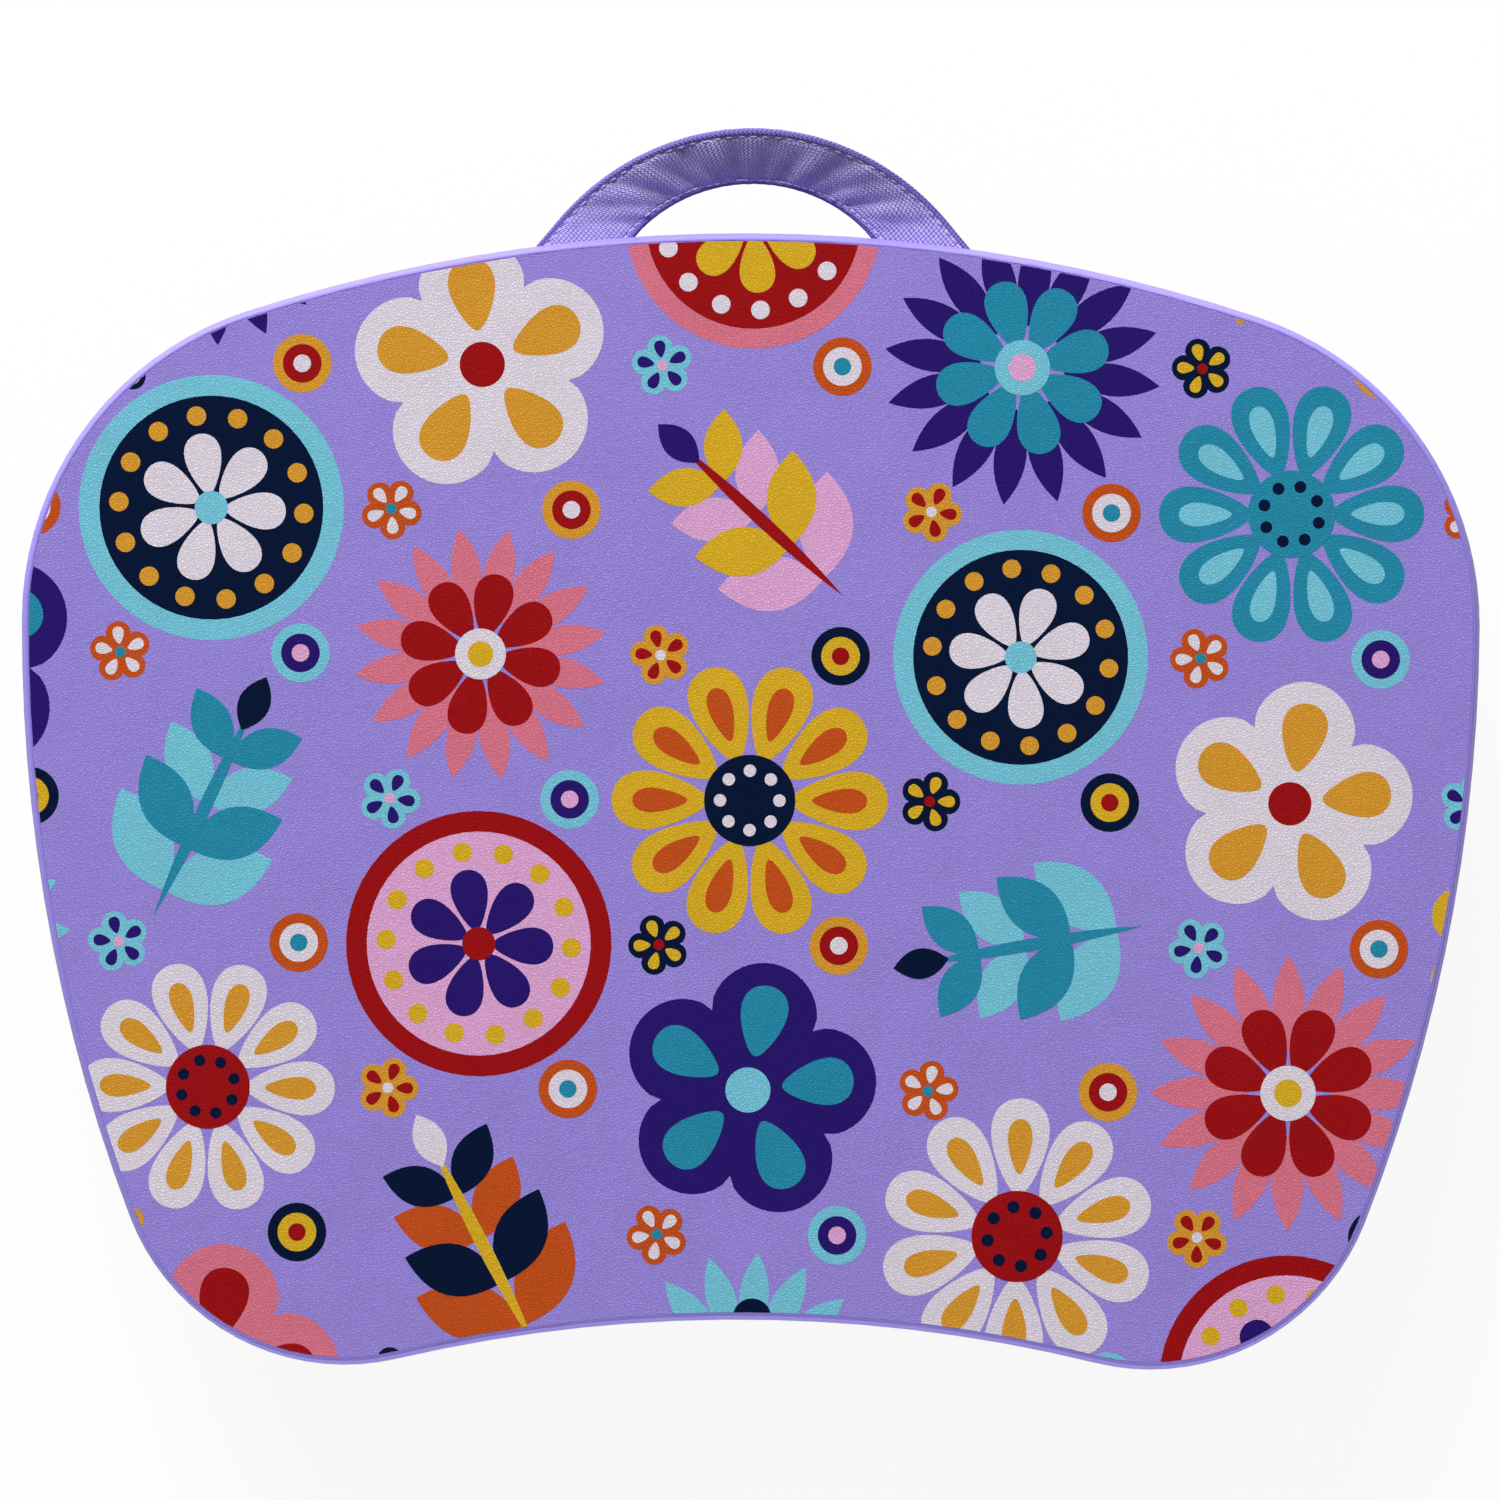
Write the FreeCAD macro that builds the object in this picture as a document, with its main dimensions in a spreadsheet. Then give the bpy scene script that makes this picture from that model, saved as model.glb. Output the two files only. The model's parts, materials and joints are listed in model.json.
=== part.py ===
import FreeCAD, Part
import math
import os
import types

import Sketcher
from FreeCAD import Placement, Vector

# Driving dimensions, in millimetres; one that follows another is given as its formula
SIZES = (
    # Tray in plan: eight arcs, each tangent to the next
    ("tray_width", 450),
    ("tray_depth", 350),
    ("back_radius", 500),
    ("back_corner_radius", 100),
    ("side_radius", 512),
    ("front_corner_radius", 71),
    ("front_radius", 464),
    # Tray in section
    ("tray_height", 13),
    ("top_thickness", 3),
    ("rim_draft", 2),
    ("rim_wall", 2.4),
    ("top_edge_radius", 0.7),
    ("rib_thickness", 1.6),
    ("rib_gap", 1.5),
    ("boss_radius", 3.5),
    # Printed film, let into the tray's top
    ("film_thickness", 0.4),
    ("film_margin", 0.8),
    ("film_clearance", 0.1),
    # Frame that clamps the cushion's flange
    ("frame_thickness", 3),
    ("frame_width", 26),
    ("frame_clearance", 0.4),
    # Screws
    ("screw_radius", 1.5),
    ("screw_hold", 4.6),
    ("screw_tip", 1.2),
    ("screw_gap", 0.7),
    ("hole_clearance", 0.2),
    ("thread_clearance", 0.05),
    ("head_radius", 3.1),
    ("head_height", 1.6),
    ("head_clearance", 0.2),
    ("recess_length", 3.2),
    ("recess_width", 0.9),
    ("recess_depth", 0.9),
    # Cushion
    ("cushion_height", 54),
    ("cloth_thickness", 1.2),
    ("cloth_margin", 2),
    ("neck_clearance", 1.2),
    ("neck_rise", 1),
    ("channel_width", 92),
    ("bolster_inner_radius", "=tray_width * 0.08"),
    ("bolster_bulge", 6),
    ("seam_height", 20),
    ("seam_draw", 1.5),
    ("crown_run", "=bolster_inner_radius * 7 / 9"),
    ("crown_drop", 3),
    ("fabric_thickness", 1),
    ("fill_clearance", 0.3),
    ("piping_radius", 1.8),
    ("piping_clearance", 0.8),
    ("centre_thickness", 7),
    ("centre_seam_thickness", 2.5),
    ("centre_clearance", 0.5),
    # Handle
    ("handle_reach", 32),
    ("handle_opening", 15.4),
    ("handle_outer_span", 125),
    ("handle_inner_span", 69),
    ("handle_outer_lift", 12.4),
    ("handle_inner_lift", 0.8),
    ("handle_thickness", 4.2),
    ("handle_edge_thickness", 1.6),
    ("core_thickness", 1.6),
    ("core_trim", 4),
    ("core_clearance", 0.1),
    ("fold_offset", 1),
    ("fold_clearance", 0.5),
    ("tail_thickness", 2.4),
    ("tail_length", 22),
    ("clamp_length", "=(handle_outer_span - handle_inner_span) * 4 / 7"),
    ("clamp_depth", 12),
    ("clamp_thickness", 2.5),
    ("clamp_corner_radius", 3),
    ("clamp_screw_spacing", "=(handle_outer_span - handle_inner_span) * 9 / 28"),
    ("clamp_setback", 13.5),
    # Length that every cut runs past the solid it cuts
    ("overrun", 2),
)

# Counts, and places given as shares of the stretch that they lie on
RIB_COLUMN_SHARES = (-0.9, -0.6, -0.3, 0, 0.3, 0.6, 0.9)
RIB_ROW_SHARES = (0.12, 0.34, 0.56, 0.78, 1)
BACK_SCREW_SHARES = (-0.92, 0, 0.92)
CORNER_SCREW_SHARE = 0.5
SIDE_SCREW_SHARE = 0.5
FRONT_SCREW_SHARES = (-0.45, 0.45)
CENTRE_LOBES = 4
GUSSET_STEPS = 8
CROWN_STEPS = 8
DOME_SPAN_SHARES = (0.8, 0.55)
DOME_HEIGHT_SHARES = (0.3, 0)
HANDLE_STEPS = 14
CORE_SPAN_SHARE = 0.8

UP = Vector(0, 0, 1)
START, END, MIDDLE = range(1, 4)
ORIGIN = -1
VERTICAL_AXIS = ORIGIN - 1


class Size:
    """A size held as a number and as the expression that ties a feature to the sheet."""

    def __init__(self, value, text):
        self.value = value
        self.text = text

    def __float__(self):
        return float(self.value)

    def joined(self, sign, other, value):
        other_text = other.text if isinstance(other, Size) else str(other)
        return Size(value, "(%s %s %s)" % (self.text, sign, other_text))

    def __add__(self, other):
        return self.joined("+", other, self.value + float(other))

    def __sub__(self, other):
        return self.joined("-", other, self.value - float(other))

    def __mul__(self, other):
        return self.joined("*", other, self.value * float(other))

    def __truediv__(self, other):
        return self.joined("/", other, self.value / float(other))

    def __neg__(self):
        return Size(-self.value, "(0 - %s)" % self.text)

    def root(self):
        return Size(math.sqrt(self.value), "sqrt(%s)" % self.text)

    def angle(self):
        return Size(math.degrees(math.atan(self.value)), "atan(%s)" % self.text)


doc = FreeCAD.newDocument("lap_tray")
sheet = doc.addObject("Spreadsheet::Sheet", "dims")
for row, (name, number) in enumerate(SIZES, 1):
    sheet.set("A%d" % row, name)
    sheet.set("B%d" % row, str(number))
    sheet.setAlias("B%d" % row, name)
doc.recompute()
size = types.SimpleNamespace(
    **{name: Size(float(getattr(sheet, name)), "dims." + name) for name, number in SIZES}
)
mm = types.SimpleNamespace(**{name: float(getattr(sheet, name)) for name, number in SIZES})

# Levels, from the surface that the cushion stands on
lip_level = size.cushion_height - size.frame_thickness
cloth_level = size.cushion_height + size.cloth_thickness
top_level = lip_level + size.tray_height
plate_level = top_level - size.top_thickness
film_level = top_level - size.film_thickness
boss_height = plate_level - cloth_level
tail_level = lip_level - size.tail_thickness
clamp_level = tail_level - size.clamp_thickness
fold_level = lip_level - size.tail_thickness / 2

# Places along Y: the origin is under the middle of tray and handle together
back_y = (size.tray_depth - size.handle_reach) / 2
front_reach = (size.tray_depth + size.handle_reach) / 2
fold_y = back_y + size.fold_offset

# Insets from the tray's lower edge, in plan
draft = size.rim_draft / size.tray_height
film_inset = size.rim_draft + size.film_margin
cavity_inset = size.rim_wall + draft * (size.tray_height - size.top_thickness)
frame_inset = size.rim_wall + draft * size.frame_thickness + size.frame_clearance
opening_inset = frame_inset + size.frame_width
screw_inset = frame_inset + size.frame_width / 2
cloth_inset = frame_inset + size.cloth_margin
neck_inset = opening_inset + size.neck_clearance
seam_inset = neck_inset + size.seam_draw

# Centres of the outline's arcs, right half, from back to front
half_width = size.tray_width / 2
corner_x = half_width - size.back_corner_radius
back_centre_y = back_y - size.back_radius
back_span = size.back_radius - size.back_corner_radius
side_y = back_centre_y + (back_span * back_span - corner_x * corner_x).root()
side_x = half_width - size.side_radius
front_corner_y = size.front_corner_radius - front_reach
side_span = size.side_radius - size.front_corner_radius
side_drop = side_y - front_corner_y
front_corner_x = side_x + (side_span * side_span - side_drop * side_drop).root()
front_span = size.front_radius + size.front_corner_radius
front_centre_y = front_corner_y - (front_span * front_span - front_corner_x * front_corner_x).root()


def bearing(from_x, from_y, to_x, to_y):
    """Angle of a line in plan, anticlockwise from the X axis."""
    return math.atan2(float(to_y) - float(from_y), float(to_x) - float(from_x))


# Angles at which the arcs meet, anticlockwise from the X axis
QUARTER = math.pi / 2
back_angle = bearing(0, back_centre_y, corner_x, side_y)
side_angle = bearing(side_x, side_y, front_corner_x, front_corner_y)
front_angle = bearing(0, front_centre_y, front_corner_x, front_corner_y)
corner_angle = front_angle - math.pi


def mirrored(span):
    """The same stretch of an arc on the left half."""
    return (math.pi - span[1], math.pi - span[0])


def tray_arcs(inset):
    """Arcs of the tray's outline, anticlockwise: centre x, centre y, radius, start and end."""
    corner = size.back_corner_radius - inset
    side = size.side_radius - inset
    front_corner = size.front_corner_radius - inset
    right = (
        (side_x, side_y, side, (side_angle, 0)),
        (corner_x, side_y, corner, (0, back_angle)),
    )
    left = tuple((-x, y, radius, mirrored(span)) for x, y, radius, span in reversed(right))
    front_right = (front_corner_x, front_corner_y, front_corner, (corner_angle, side_angle))
    front_left = (-front_corner_x, front_corner_y, front_corner, mirrored(front_right[3]))
    middle = size.tray_width * 0
    back = (middle, back_centre_y, size.back_radius - inset, (back_angle, math.pi - back_angle))
    front = (middle, front_centre_y, size.front_radius + inset, (front_angle, math.pi - front_angle))
    return right + (back,) + left + (front_left, front, front_right)


def bind(thing, name, value):
    """Ties a property to the sheet."""
    thing.setExpression(name, value.text)


def new_body(label):
    body = doc.addObject("PartDesign::Body", label)
    body.Label = label
    return body


def new_sketch(body, name, level, role="XY_Plane"):
    """A sketch on one of the body's own origin planes, moved out along the plane's normal."""
    plane = [item for item in body.Origin.OriginFeatures if item.Role == role][0]
    sketch = body.newObject("Sketcher::SketchObject", name)
    sketch.AttachmentSupport = [(plane, "")]
    sketch.MapMode = "FlatFace"
    bind(sketch, "AttachmentOffset.Base.z", level)
    return sketch


def constrain(sketch, value, *what):
    """Adds a constraint with a datum and ties it to the sheet."""
    index = sketch.addConstraint(Sketcher.Constraint(*what, float(value)))
    bind(sketch, "Constraints[%d]" % index, value)


def place_point(sketch, geometry, point, x, y):
    """Ties a point of a sketch to its coordinates, whichever side of the axes it lies on."""
    for kind, value in (("DistanceX", x), ("DistanceY", y)):
        if float(value) < 0:
            constrain(sketch, -value, kind, geometry, point, ORIGIN, START)
        else:
            constrain(sketch, value, kind, ORIGIN, START, geometry, point)


def draw_tray_outline(sketch, inset):
    """The tray's outline, drawn in by an inset, as eight arcs tied to the sheet."""
    arcs = tray_arcs(inset)
    first = sketch.GeometryCount
    numbers = range(first, first + len(arcs))
    side, corner, back, left_corner, left_side, left_front, front, right_front = numbers
    for x, y, radius, span in arcs:
        circle = Part.Circle(Vector(float(x), float(y), 0), UP, float(radius))
        sketch.addGeometry(Part.ArcOfCircle(circle, *span), False)
    for arc, following in zip(numbers, (*numbers[1:], first)):
        leave = START if arc == front else END
        enter = END if following == front else START
        sketch.addConstraint(Sketcher.Constraint("Tangent", arc, leave, following, enter))
    for arc, (x, y, radius, span) in zip(numbers, arcs):
        constrain(sketch, radius, "Radius", arc)
    sketch.addConstraint(Sketcher.Constraint("PointOnObject", back, MIDDLE, VERTICAL_AXIS))
    constrain(sketch, -back_centre_y, "DistanceY", back, MIDDLE, ORIGIN, START)
    constrain(sketch, corner_x, "DistanceX", ORIGIN, START, corner, MIDDLE)
    constrain(sketch, corner_x, "DistanceX", left_corner, MIDDLE, ORIGIN, START)
    sketch.addConstraint(Sketcher.Constraint("Horizontal", side, MIDDLE, corner, MIDDLE))
    sketch.addConstraint(Sketcher.Constraint("Horizontal", left_side, MIDDLE, left_corner, MIDDLE))
    constrain(sketch, -front_corner_y, "DistanceY", right_front, MIDDLE, ORIGIN, START)
    constrain(sketch, -front_corner_y, "DistanceY", left_front, MIDDLE, ORIGIN, START)


def draw_circles(sketch, places, radius):
    """Circles of one radius at places in plan."""
    for x, y in places:
        circle = sketch.addGeometry(Part.Circle(Vector(x, y, 0), UP, float(radius)), False)
        constrain(sketch, radius, "Radius", circle)


def draw_polygon(sketch, points):
    """A closed polygon whose corners are tied to the sheet."""
    corners = [Vector(float(x), float(y), 0) for x, y in points]
    first = sketch.GeometryCount
    for index, corner in enumerate(corners):
        sketch.addGeometry(Part.LineSegment(corner, corners[(index + 1) % len(corners)]), False)
    for index in range(len(corners)):
        before = first + (index - 1) % len(corners)
        sketch.addConstraint(Sketcher.Constraint("Coincident", before, END, first + index, START))
        place_point(sketch, first + index, START, *points[index])


def pad(body, sketch, length, reverse=False):
    feature = body.newObject("PartDesign::Pad", sketch.Name + "_pad")
    feature.Profile = sketch
    feature.Reversed = reverse
    bind(feature, "Length", length)
    doc.recompute()
    return feature


def pocket(body, sketch, depth, upward=False):
    """A cut from a sketch's plane down into the solid, or up into it."""
    before = body.Shape.Volume
    feature = body.newObject("PartDesign::Pocket", sketch.Name + "_cut")
    feature.Profile = sketch
    feature.Reversed = upward
    bind(feature, "Length", depth)
    doc.recompute()
    if not body.Shape.Volume < before:
        raise RuntimeError("%s cuts nothing" % feature.Name)
    return feature


def shape_names(feature, kind, wanted):
    """Names of the faces or edges of a feature that a test picks out."""
    items = feature.Shape.Faces if kind == "Face" else feature.Shape.Edges
    return ["%s%d" % (kind, index) for index, item in enumerate(items, 1) if wanted(item)]


def hollow(body, lower, upper):
    """A straight-sided hollow between two sketches."""
    feature = body.newObject("PartDesign::SubtractiveLoft", lower.Name + "_loft")
    feature.Profile = lower
    feature.Sections = [upper]
    feature.Ruled = True
    doc.recompute()
    return feature


def arc_place(arc, share):
    """A place on an arc, at a share of the arc's stretch."""
    x, y, radius, (start, end) = arc
    angle = start + (end - start) * share
    return (float(x) + float(radius) * math.cos(angle), float(y) + float(radius) * math.sin(angle))


def frame_screw_places():
    """Where the frame's screws stand, along the middle of the frame."""
    side, corner, back, left_corner, left_side, left_front, front, right_front = tray_arcs(screw_inset)
    places = [arc_place(back, (1 + share) / 2) for share in BACK_SCREW_SHARES]
    places += [arc_place(front, (1 + share) / 2) for share in FRONT_SCREW_SHARES]
    places += [arc_place(arc, CORNER_SCREW_SHARE) for arc in (corner, left_corner, left_front, right_front)]
    places += [arc_place(arc, SIDE_SCREW_SHARE) for arc in (side, left_side)]
    return places


# Handle in plan: two arcs, the strap's inner and outer edges
inner_half = size.handle_inner_span / 2
outer_half = size.handle_outer_span / 2
inner_rise = size.handle_opening - size.fold_offset
strap_run = size.handle_reach - size.handle_opening
strap_rise = size.handle_outer_lift - size.handle_inner_lift
strap_tilt = strap_rise / (strap_run * strap_run + strap_rise * strap_rise).root()
outer_rise = size.handle_reach - size.fold_offset - strap_tilt * size.handle_edge_thickness / 2
tail_half = (inner_half + outer_half) / 2
tail_rise = (inner_rise + outer_rise) / 2
tail_radius = (tail_half * tail_half + tail_rise * tail_rise) / (tail_rise * 2)
tail_slope = (tail_radius - tail_rise) / tail_half
tail_near_y = fold_y - size.tail_thickness / 2 - size.fold_clearance
tail_shift = tail_slope * size.tail_length
clamp_y = back_y - size.clamp_setback
clamp_x = tail_half + tail_slope * (tail_near_y - clamp_y)


def clamp_screw_places():
    """Where the screws of both tail clamps stand."""
    offset = mm.clamp_screw_spacing / 2
    right = [(float(clamp_x) + side * offset, float(clamp_y)) for side in (-1, 1)]
    return right + [(-x, y) for x, y in right]


def make_tray_shell():
    body = new_body("tray_shell")
    outline = new_sketch(body, "tray_lip", lip_level)
    draw_tray_outline(outline, size.tray_width * 0)
    slab = pad(body, outline, size.tray_height)
    walls = shape_names(slab, "Face", lambda face: face.BoundBox.ZLength > mm.top_thickness)
    floor = shape_names(slab, "Face", lambda face: face.BoundBox.ZMax < float(plate_level))
    slope = body.newObject("PartDesign::Draft", "rim_slope")
    slope.Base = (slab, walls)
    slope.NeutralPlane = (slab, floor)
    bind(slope, "Angle", draft.angle())
    doc.recompute()
    rim = shape_names(slope, "Edge", lambda edge: edge.BoundBox.ZMin > float(plate_level))
    rounding = body.newObject("PartDesign::Fillet", "top_edge")
    rounding.Base = (slope, rim)
    bind(rounding, "Radius", size.top_edge_radius)
    doc.recompute()
    cavity_lower = new_sketch(body, "cavity_lip", lip_level)
    draw_tray_outline(cavity_lower, size.rim_wall)
    cavity_upper = new_sketch(body, "cavity_top", plate_level)
    draw_tray_outline(cavity_upper, cavity_inset)
    hollow(body, cavity_lower, cavity_upper)
    recess = new_sketch(body, "film_recess", top_level)
    draw_tray_outline(recess, film_inset)
    pocket(body, recess, size.film_thickness)
    clamp_rib = new_sketch(body, "clamp_rib", cloth_level)
    draw_tray_outline(clamp_rib, screw_inset - size.rib_thickness / 2)
    draw_tray_outline(clamp_rib, screw_inset + size.rib_thickness / 2)
    pad(body, clamp_rib, boss_height)
    for name, rectangles in (("rib_columns", rib_columns()), ("rib_rows", rib_rows())):
        ribs = new_sketch(body, name, cloth_level + size.rib_gap)
        for corners in rectangles:
            draw_polygon(ribs, corners)
        pad(body, ribs, boss_height - size.rib_gap)
    bosses = new_sketch(body, "bosses", cloth_level)
    places = frame_screw_places() + clamp_screw_places()
    draw_circles(bosses, places, size.boss_radius)
    pad(body, bosses, boss_height)
    holes = new_sketch(body, "boss_holes", cloth_level)
    draw_circles(holes, places, size.screw_radius + size.thread_clearance)
    pocket(body, holes, size.screw_hold + size.screw_gap, upward=True)
    return body


def rectangle(left, right, front, back):
    return ((left, front), (right, front), (right, back), (left, back))


def rib_columns():
    """Outlines of the stiffening ribs that run from front to back."""
    half = size.rib_thickness / 2
    back_radius = size.back_radius - screw_inset
    front_radius = size.front_radius + screw_inset
    columns = []
    for share in RIB_COLUMN_SHARES:
        x = front_corner_x * share
        back_end = back_centre_y + (back_radius * back_radius - x * x).root()
        front_end = front_centre_y + (front_radius * front_radius - x * x).root()
        columns.append(rectangle(x - half, x + half, front_end, back_end))
    return columns


def rib_rows():
    """Outlines of the stiffening ribs that run from side to side."""
    half = size.rib_thickness / 2
    side_radius = size.side_radius - screw_inset
    rows = []
    for share in RIB_ROW_SHARES:
        y = front_corner_y + side_drop * share
        run = side_y - y
        end = side_x + (side_radius * side_radius - run * run).root()
        rows.append(rectangle(-end, end, y - half, y + half))
    return rows


def make_print_film():
    body = new_body("print_film")
    outline = new_sketch(body, "film_outline", film_level)
    draw_tray_outline(outline, film_inset + size.film_clearance)
    pad(body, outline, size.film_thickness)
    return body


def make_retainer_frame():
    body = new_body("retainer_frame")
    ring = new_sketch(body, "frame_ring", lip_level)
    draw_tray_outline(ring, frame_inset)
    draw_tray_outline(ring, opening_inset)
    pad(body, ring, size.frame_thickness)
    sinks = new_sketch(body, "frame_sinks", lip_level)
    draw_circles(sinks, frame_screw_places(), size.head_radius + size.head_clearance)
    pocket(body, sinks, size.head_height, upward=True)
    holes = new_sketch(body, "frame_holes", lip_level)
    draw_circles(holes, frame_screw_places() + clamp_screw_places(), size.screw_radius + size.hole_clearance)
    pocket(body, holes, size.frame_thickness + size.overrun, upward=True)
    return body


def make_backing_cloth():
    body = new_body("backing_cloth")
    outline = new_sketch(body, "cloth_outline", size.cushion_height)
    draw_tray_outline(outline, cloth_inset)
    pad(body, outline, size.cloth_thickness)
    holes = new_sketch(body, "cloth_holes", size.cushion_height)
    draw_circles(holes, frame_screw_places() + clamp_screw_places(), size.screw_radius + size.hole_clearance)
    pocket(body, holes, size.cloth_thickness + size.overrun, upward=True)
    return body


def make_centre_panel():
    """The quilted strip between the bolsters: sewn lobes that run from front to back."""
    body = new_body("centre_panel")
    half = size.channel_width / 2 - size.centre_clearance
    back_radius = size.back_radius - opening_inset - size.centre_clearance
    back_end = back_centre_y + (back_radius * back_radius - half * half).root()
    front_end = front_centre_y + size.front_radius + opening_inset + size.centre_clearance
    profile = new_sketch(body, "centre_profile", -back_end, role="XZ_Plane")
    lobe_width = half * 2 / CENTRE_LOBES
    seam_level = size.cushion_height - size.centre_seam_thickness
    lobe_sag = size.centre_thickness - size.centre_seam_thickness
    lobe_radius = (lobe_width * lobe_width / 4 + lobe_sag * lobe_sag) / (lobe_sag * 2)
    lobe_centre = seam_level - lobe_sag + lobe_radius
    half_turn = math.asin(float(lobe_width) / 2 / float(lobe_radius))
    corners = [Vector(side * float(half), float(level), 0) for side, level in (
        (1, seam_level), (1, size.cushion_height), (-1, size.cushion_height), (-1, seam_level))]
    for start, end in zip(corners, corners[1:]):
        profile.addGeometry(Part.LineSegment(start, end), False)
    right, top, left = range(3)
    for index in range(CENTRE_LOBES):
        middle = -half + lobe_width * (index + 0.5)
        circle = Part.Circle(Vector(float(middle), float(lobe_centre), 0), UP, float(lobe_radius))
        arc = Part.ArcOfCircle(circle, -QUARTER - half_turn, -QUARTER + half_turn)
        lobe = profile.addGeometry(arc, False)
        before = (left, END) if index == 0 else (lobe - 1, END)
        profile.addConstraint(Sketcher.Constraint("Coincident", *before, lobe, START))
        constrain(profile, lobe_radius, "Radius", lobe)
        place_point(profile, lobe, START, middle - lobe_width / 2, seam_level)
    profile.addConstraint(Sketcher.Constraint("Coincident", lobe, END, right, START))
    profile.addConstraint(Sketcher.Constraint("Coincident", right, END, top, START))
    profile.addConstraint(Sketcher.Constraint("Coincident", top, END, left, START))
    place_point(profile, right, START, half, seam_level)
    place_point(profile, top, START, half, size.cushion_height)
    place_point(profile, left, START, -half, size.cushion_height)
    pad(body, profile, back_end - front_end)
    return body


def arc_edge(x, y, radius, start, end, level):
    circle = Part.Circle(Vector(float(x), float(y), level), UP, radius)
    return Part.ArcOfCircle(circle, start, end).toShape()


def bolster_wire(inset, level):
    """A bolster's outline on the right half: it keeps to the tray's outline, and to the channel's side."""
    grown = inset - float(neck_inset)
    inner_x = mm.channel_width / 2 + grown
    radius = mm.bolster_inner_radius - grown
    centre_x = inner_x + radius
    back_radius = mm.back_radius - inset
    front_radius = mm.front_radius + inset
    front_corner_radius = mm.front_corner_radius - inset
    back_centre = float(back_centre_y) + math.sqrt((back_radius - radius) ** 2 - centre_x ** 2)
    front_centre = float(front_centre_y) + math.sqrt((front_radius + radius) ** 2 - centre_x ** 2)
    back_turn = bearing(0, back_centre_y, centre_x, back_centre)
    front_turn = bearing(0, front_centre_y, centre_x, front_centre)
    side_start = Vector(inner_x, back_centre, level)
    side_end = Vector(inner_x, front_centre, level)
    edges = [
        arc_edge(0, front_centre_y, front_radius, front_angle, front_turn, level),
        arc_edge(front_corner_x, front_corner_y, front_corner_radius, corner_angle, side_angle, level),
        arc_edge(side_x, side_y, mm.side_radius - inset, side_angle, 0, level),
        arc_edge(corner_x, side_y, mm.back_corner_radius - inset, 0, back_angle, level),
        arc_edge(0, back_centre_y, back_radius, back_angle, back_turn, level),
        arc_edge(centre_x, back_centre, radius, back_turn, math.pi, level),
        Part.makeLine(side_start, side_end),
        arc_edge(centre_x, front_centre, radius, math.pi, front_turn + math.pi, level),
    ]
    return Part.Wire(edges)


def bolster_middle(level):
    """A point over the middle of the right bolster."""
    box = bolster_wire(float(neck_inset), level).BoundBox
    return box.Center


def gusset_sections(offset):
    """Outlines up a bolster's side band, which swells between the seam and the neck."""
    neck_level = float(lip_level) - mm.neck_rise
    sections = []
    for step in range(GUSSET_STEPS + 1):
        share = step / GUSSET_STEPS
        level = mm.seam_height + (neck_level - mm.seam_height) * share
        swell = mm.bolster_bulge * 4 * share * (1 - share)
        inset = float(seam_inset) + (float(neck_inset) - float(seam_inset)) * share - swell
        sections.append((inset + offset, level))
    sections.append((float(neck_inset) + offset, mm.cushion_height))
    return sections


def crown_wires(offset):
    """Outlines down a bolster's lower panel: a rounded edge, then a low dome, flat where it rests."""
    wires = []
    for step in range(CROWN_STEPS + 1):
        turn = QUARTER * step / CROWN_STEPS
        inset = float(seam_inset) + mm.crown_run * (1 - math.cos(turn)) + offset * math.cos(turn)
        level = mm.seam_height - (mm.seam_height - mm.crown_drop - offset) * math.sin(turn)
        wires.append(bolster_wire(inset, level))
    edge_inset = float(seam_inset) + mm.crown_run
    for span_share, height_share in zip(DOME_SPAN_SHARES, DOME_HEIGHT_SHARES):
        level = mm.crown_drop * height_share + offset
        wire = bolster_wire(edge_inset, level)
        wires.append(wire.scaled(span_share, bolster_middle(level)))
    return wires


def straight_loft(wires):
    return Part.makeLoft(wires, True, True)


def smooth_loft(wires):
    return Part.makeLoft(wires, True, False)


def new_feature(label, shape):
    feature = doc.addObject("Part::Feature", label)
    feature.Label = label
    feature.Shape = shape
    feature.Placement = Placement()
    return feature


def mirror_of(source, label):
    """The same piece on the left half."""
    mirror = doc.addObject("Part::Mirroring", label)
    mirror.Label = label
    mirror.Source = source
    mirror.Normal = Vector(1, 0, 0)
    return mirror


def make_bolster_gusset():
    outer = straight_loft([bolster_wire(*section) for section in gusset_sections(0)])
    inner_sections = gusset_sections(mm.fabric_thickness)
    first, last = inner_sections[0], inner_sections[-1]
    inner_sections.insert(0, (first[0], first[1] - mm.overrun))
    inner_sections.append((last[0], last[1] + mm.overrun))
    inner = straight_loft([bolster_wire(*section) for section in inner_sections])
    return new_feature("right_bolster_gusset", outer.cut(inner))


def make_bolster_panel():
    outer = straight_loft(crown_wires(0))
    seam_wire = bolster_wire(float(seam_inset) + mm.fabric_thickness, mm.seam_height + mm.overrun)
    inner = straight_loft([seam_wire] + crown_wires(mm.fabric_thickness))
    return new_feature("right_bolster_panel", outer.cut(inner))


def make_bolster_fill():
    offset = mm.fabric_thickness + mm.fill_clearance
    sections = gusset_sections(offset)
    sections[-1] = (sections[-1][0], mm.cushion_height - mm.fill_clearance)
    upper = straight_loft([bolster_wire(*section) for section in sections])
    lower = straight_loft(crown_wires(offset))
    return new_feature("right_bolster_fill", upper.fuse(lower).removeSplitter())


def make_bolster_piping():
    path = bolster_wire(float(seam_inset) - mm.piping_radius - mm.piping_clearance, mm.seam_height)
    edge = path.Edges[0]
    start = edge.FirstParameter
    circle = Part.Circle(edge.valueAt(start), edge.tangentAt(start), mm.piping_radius)
    profile = Part.Wire([circle.toShape()])
    return new_feature("right_bolster_piping", path.makePipeShell([profile], True, False))


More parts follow.
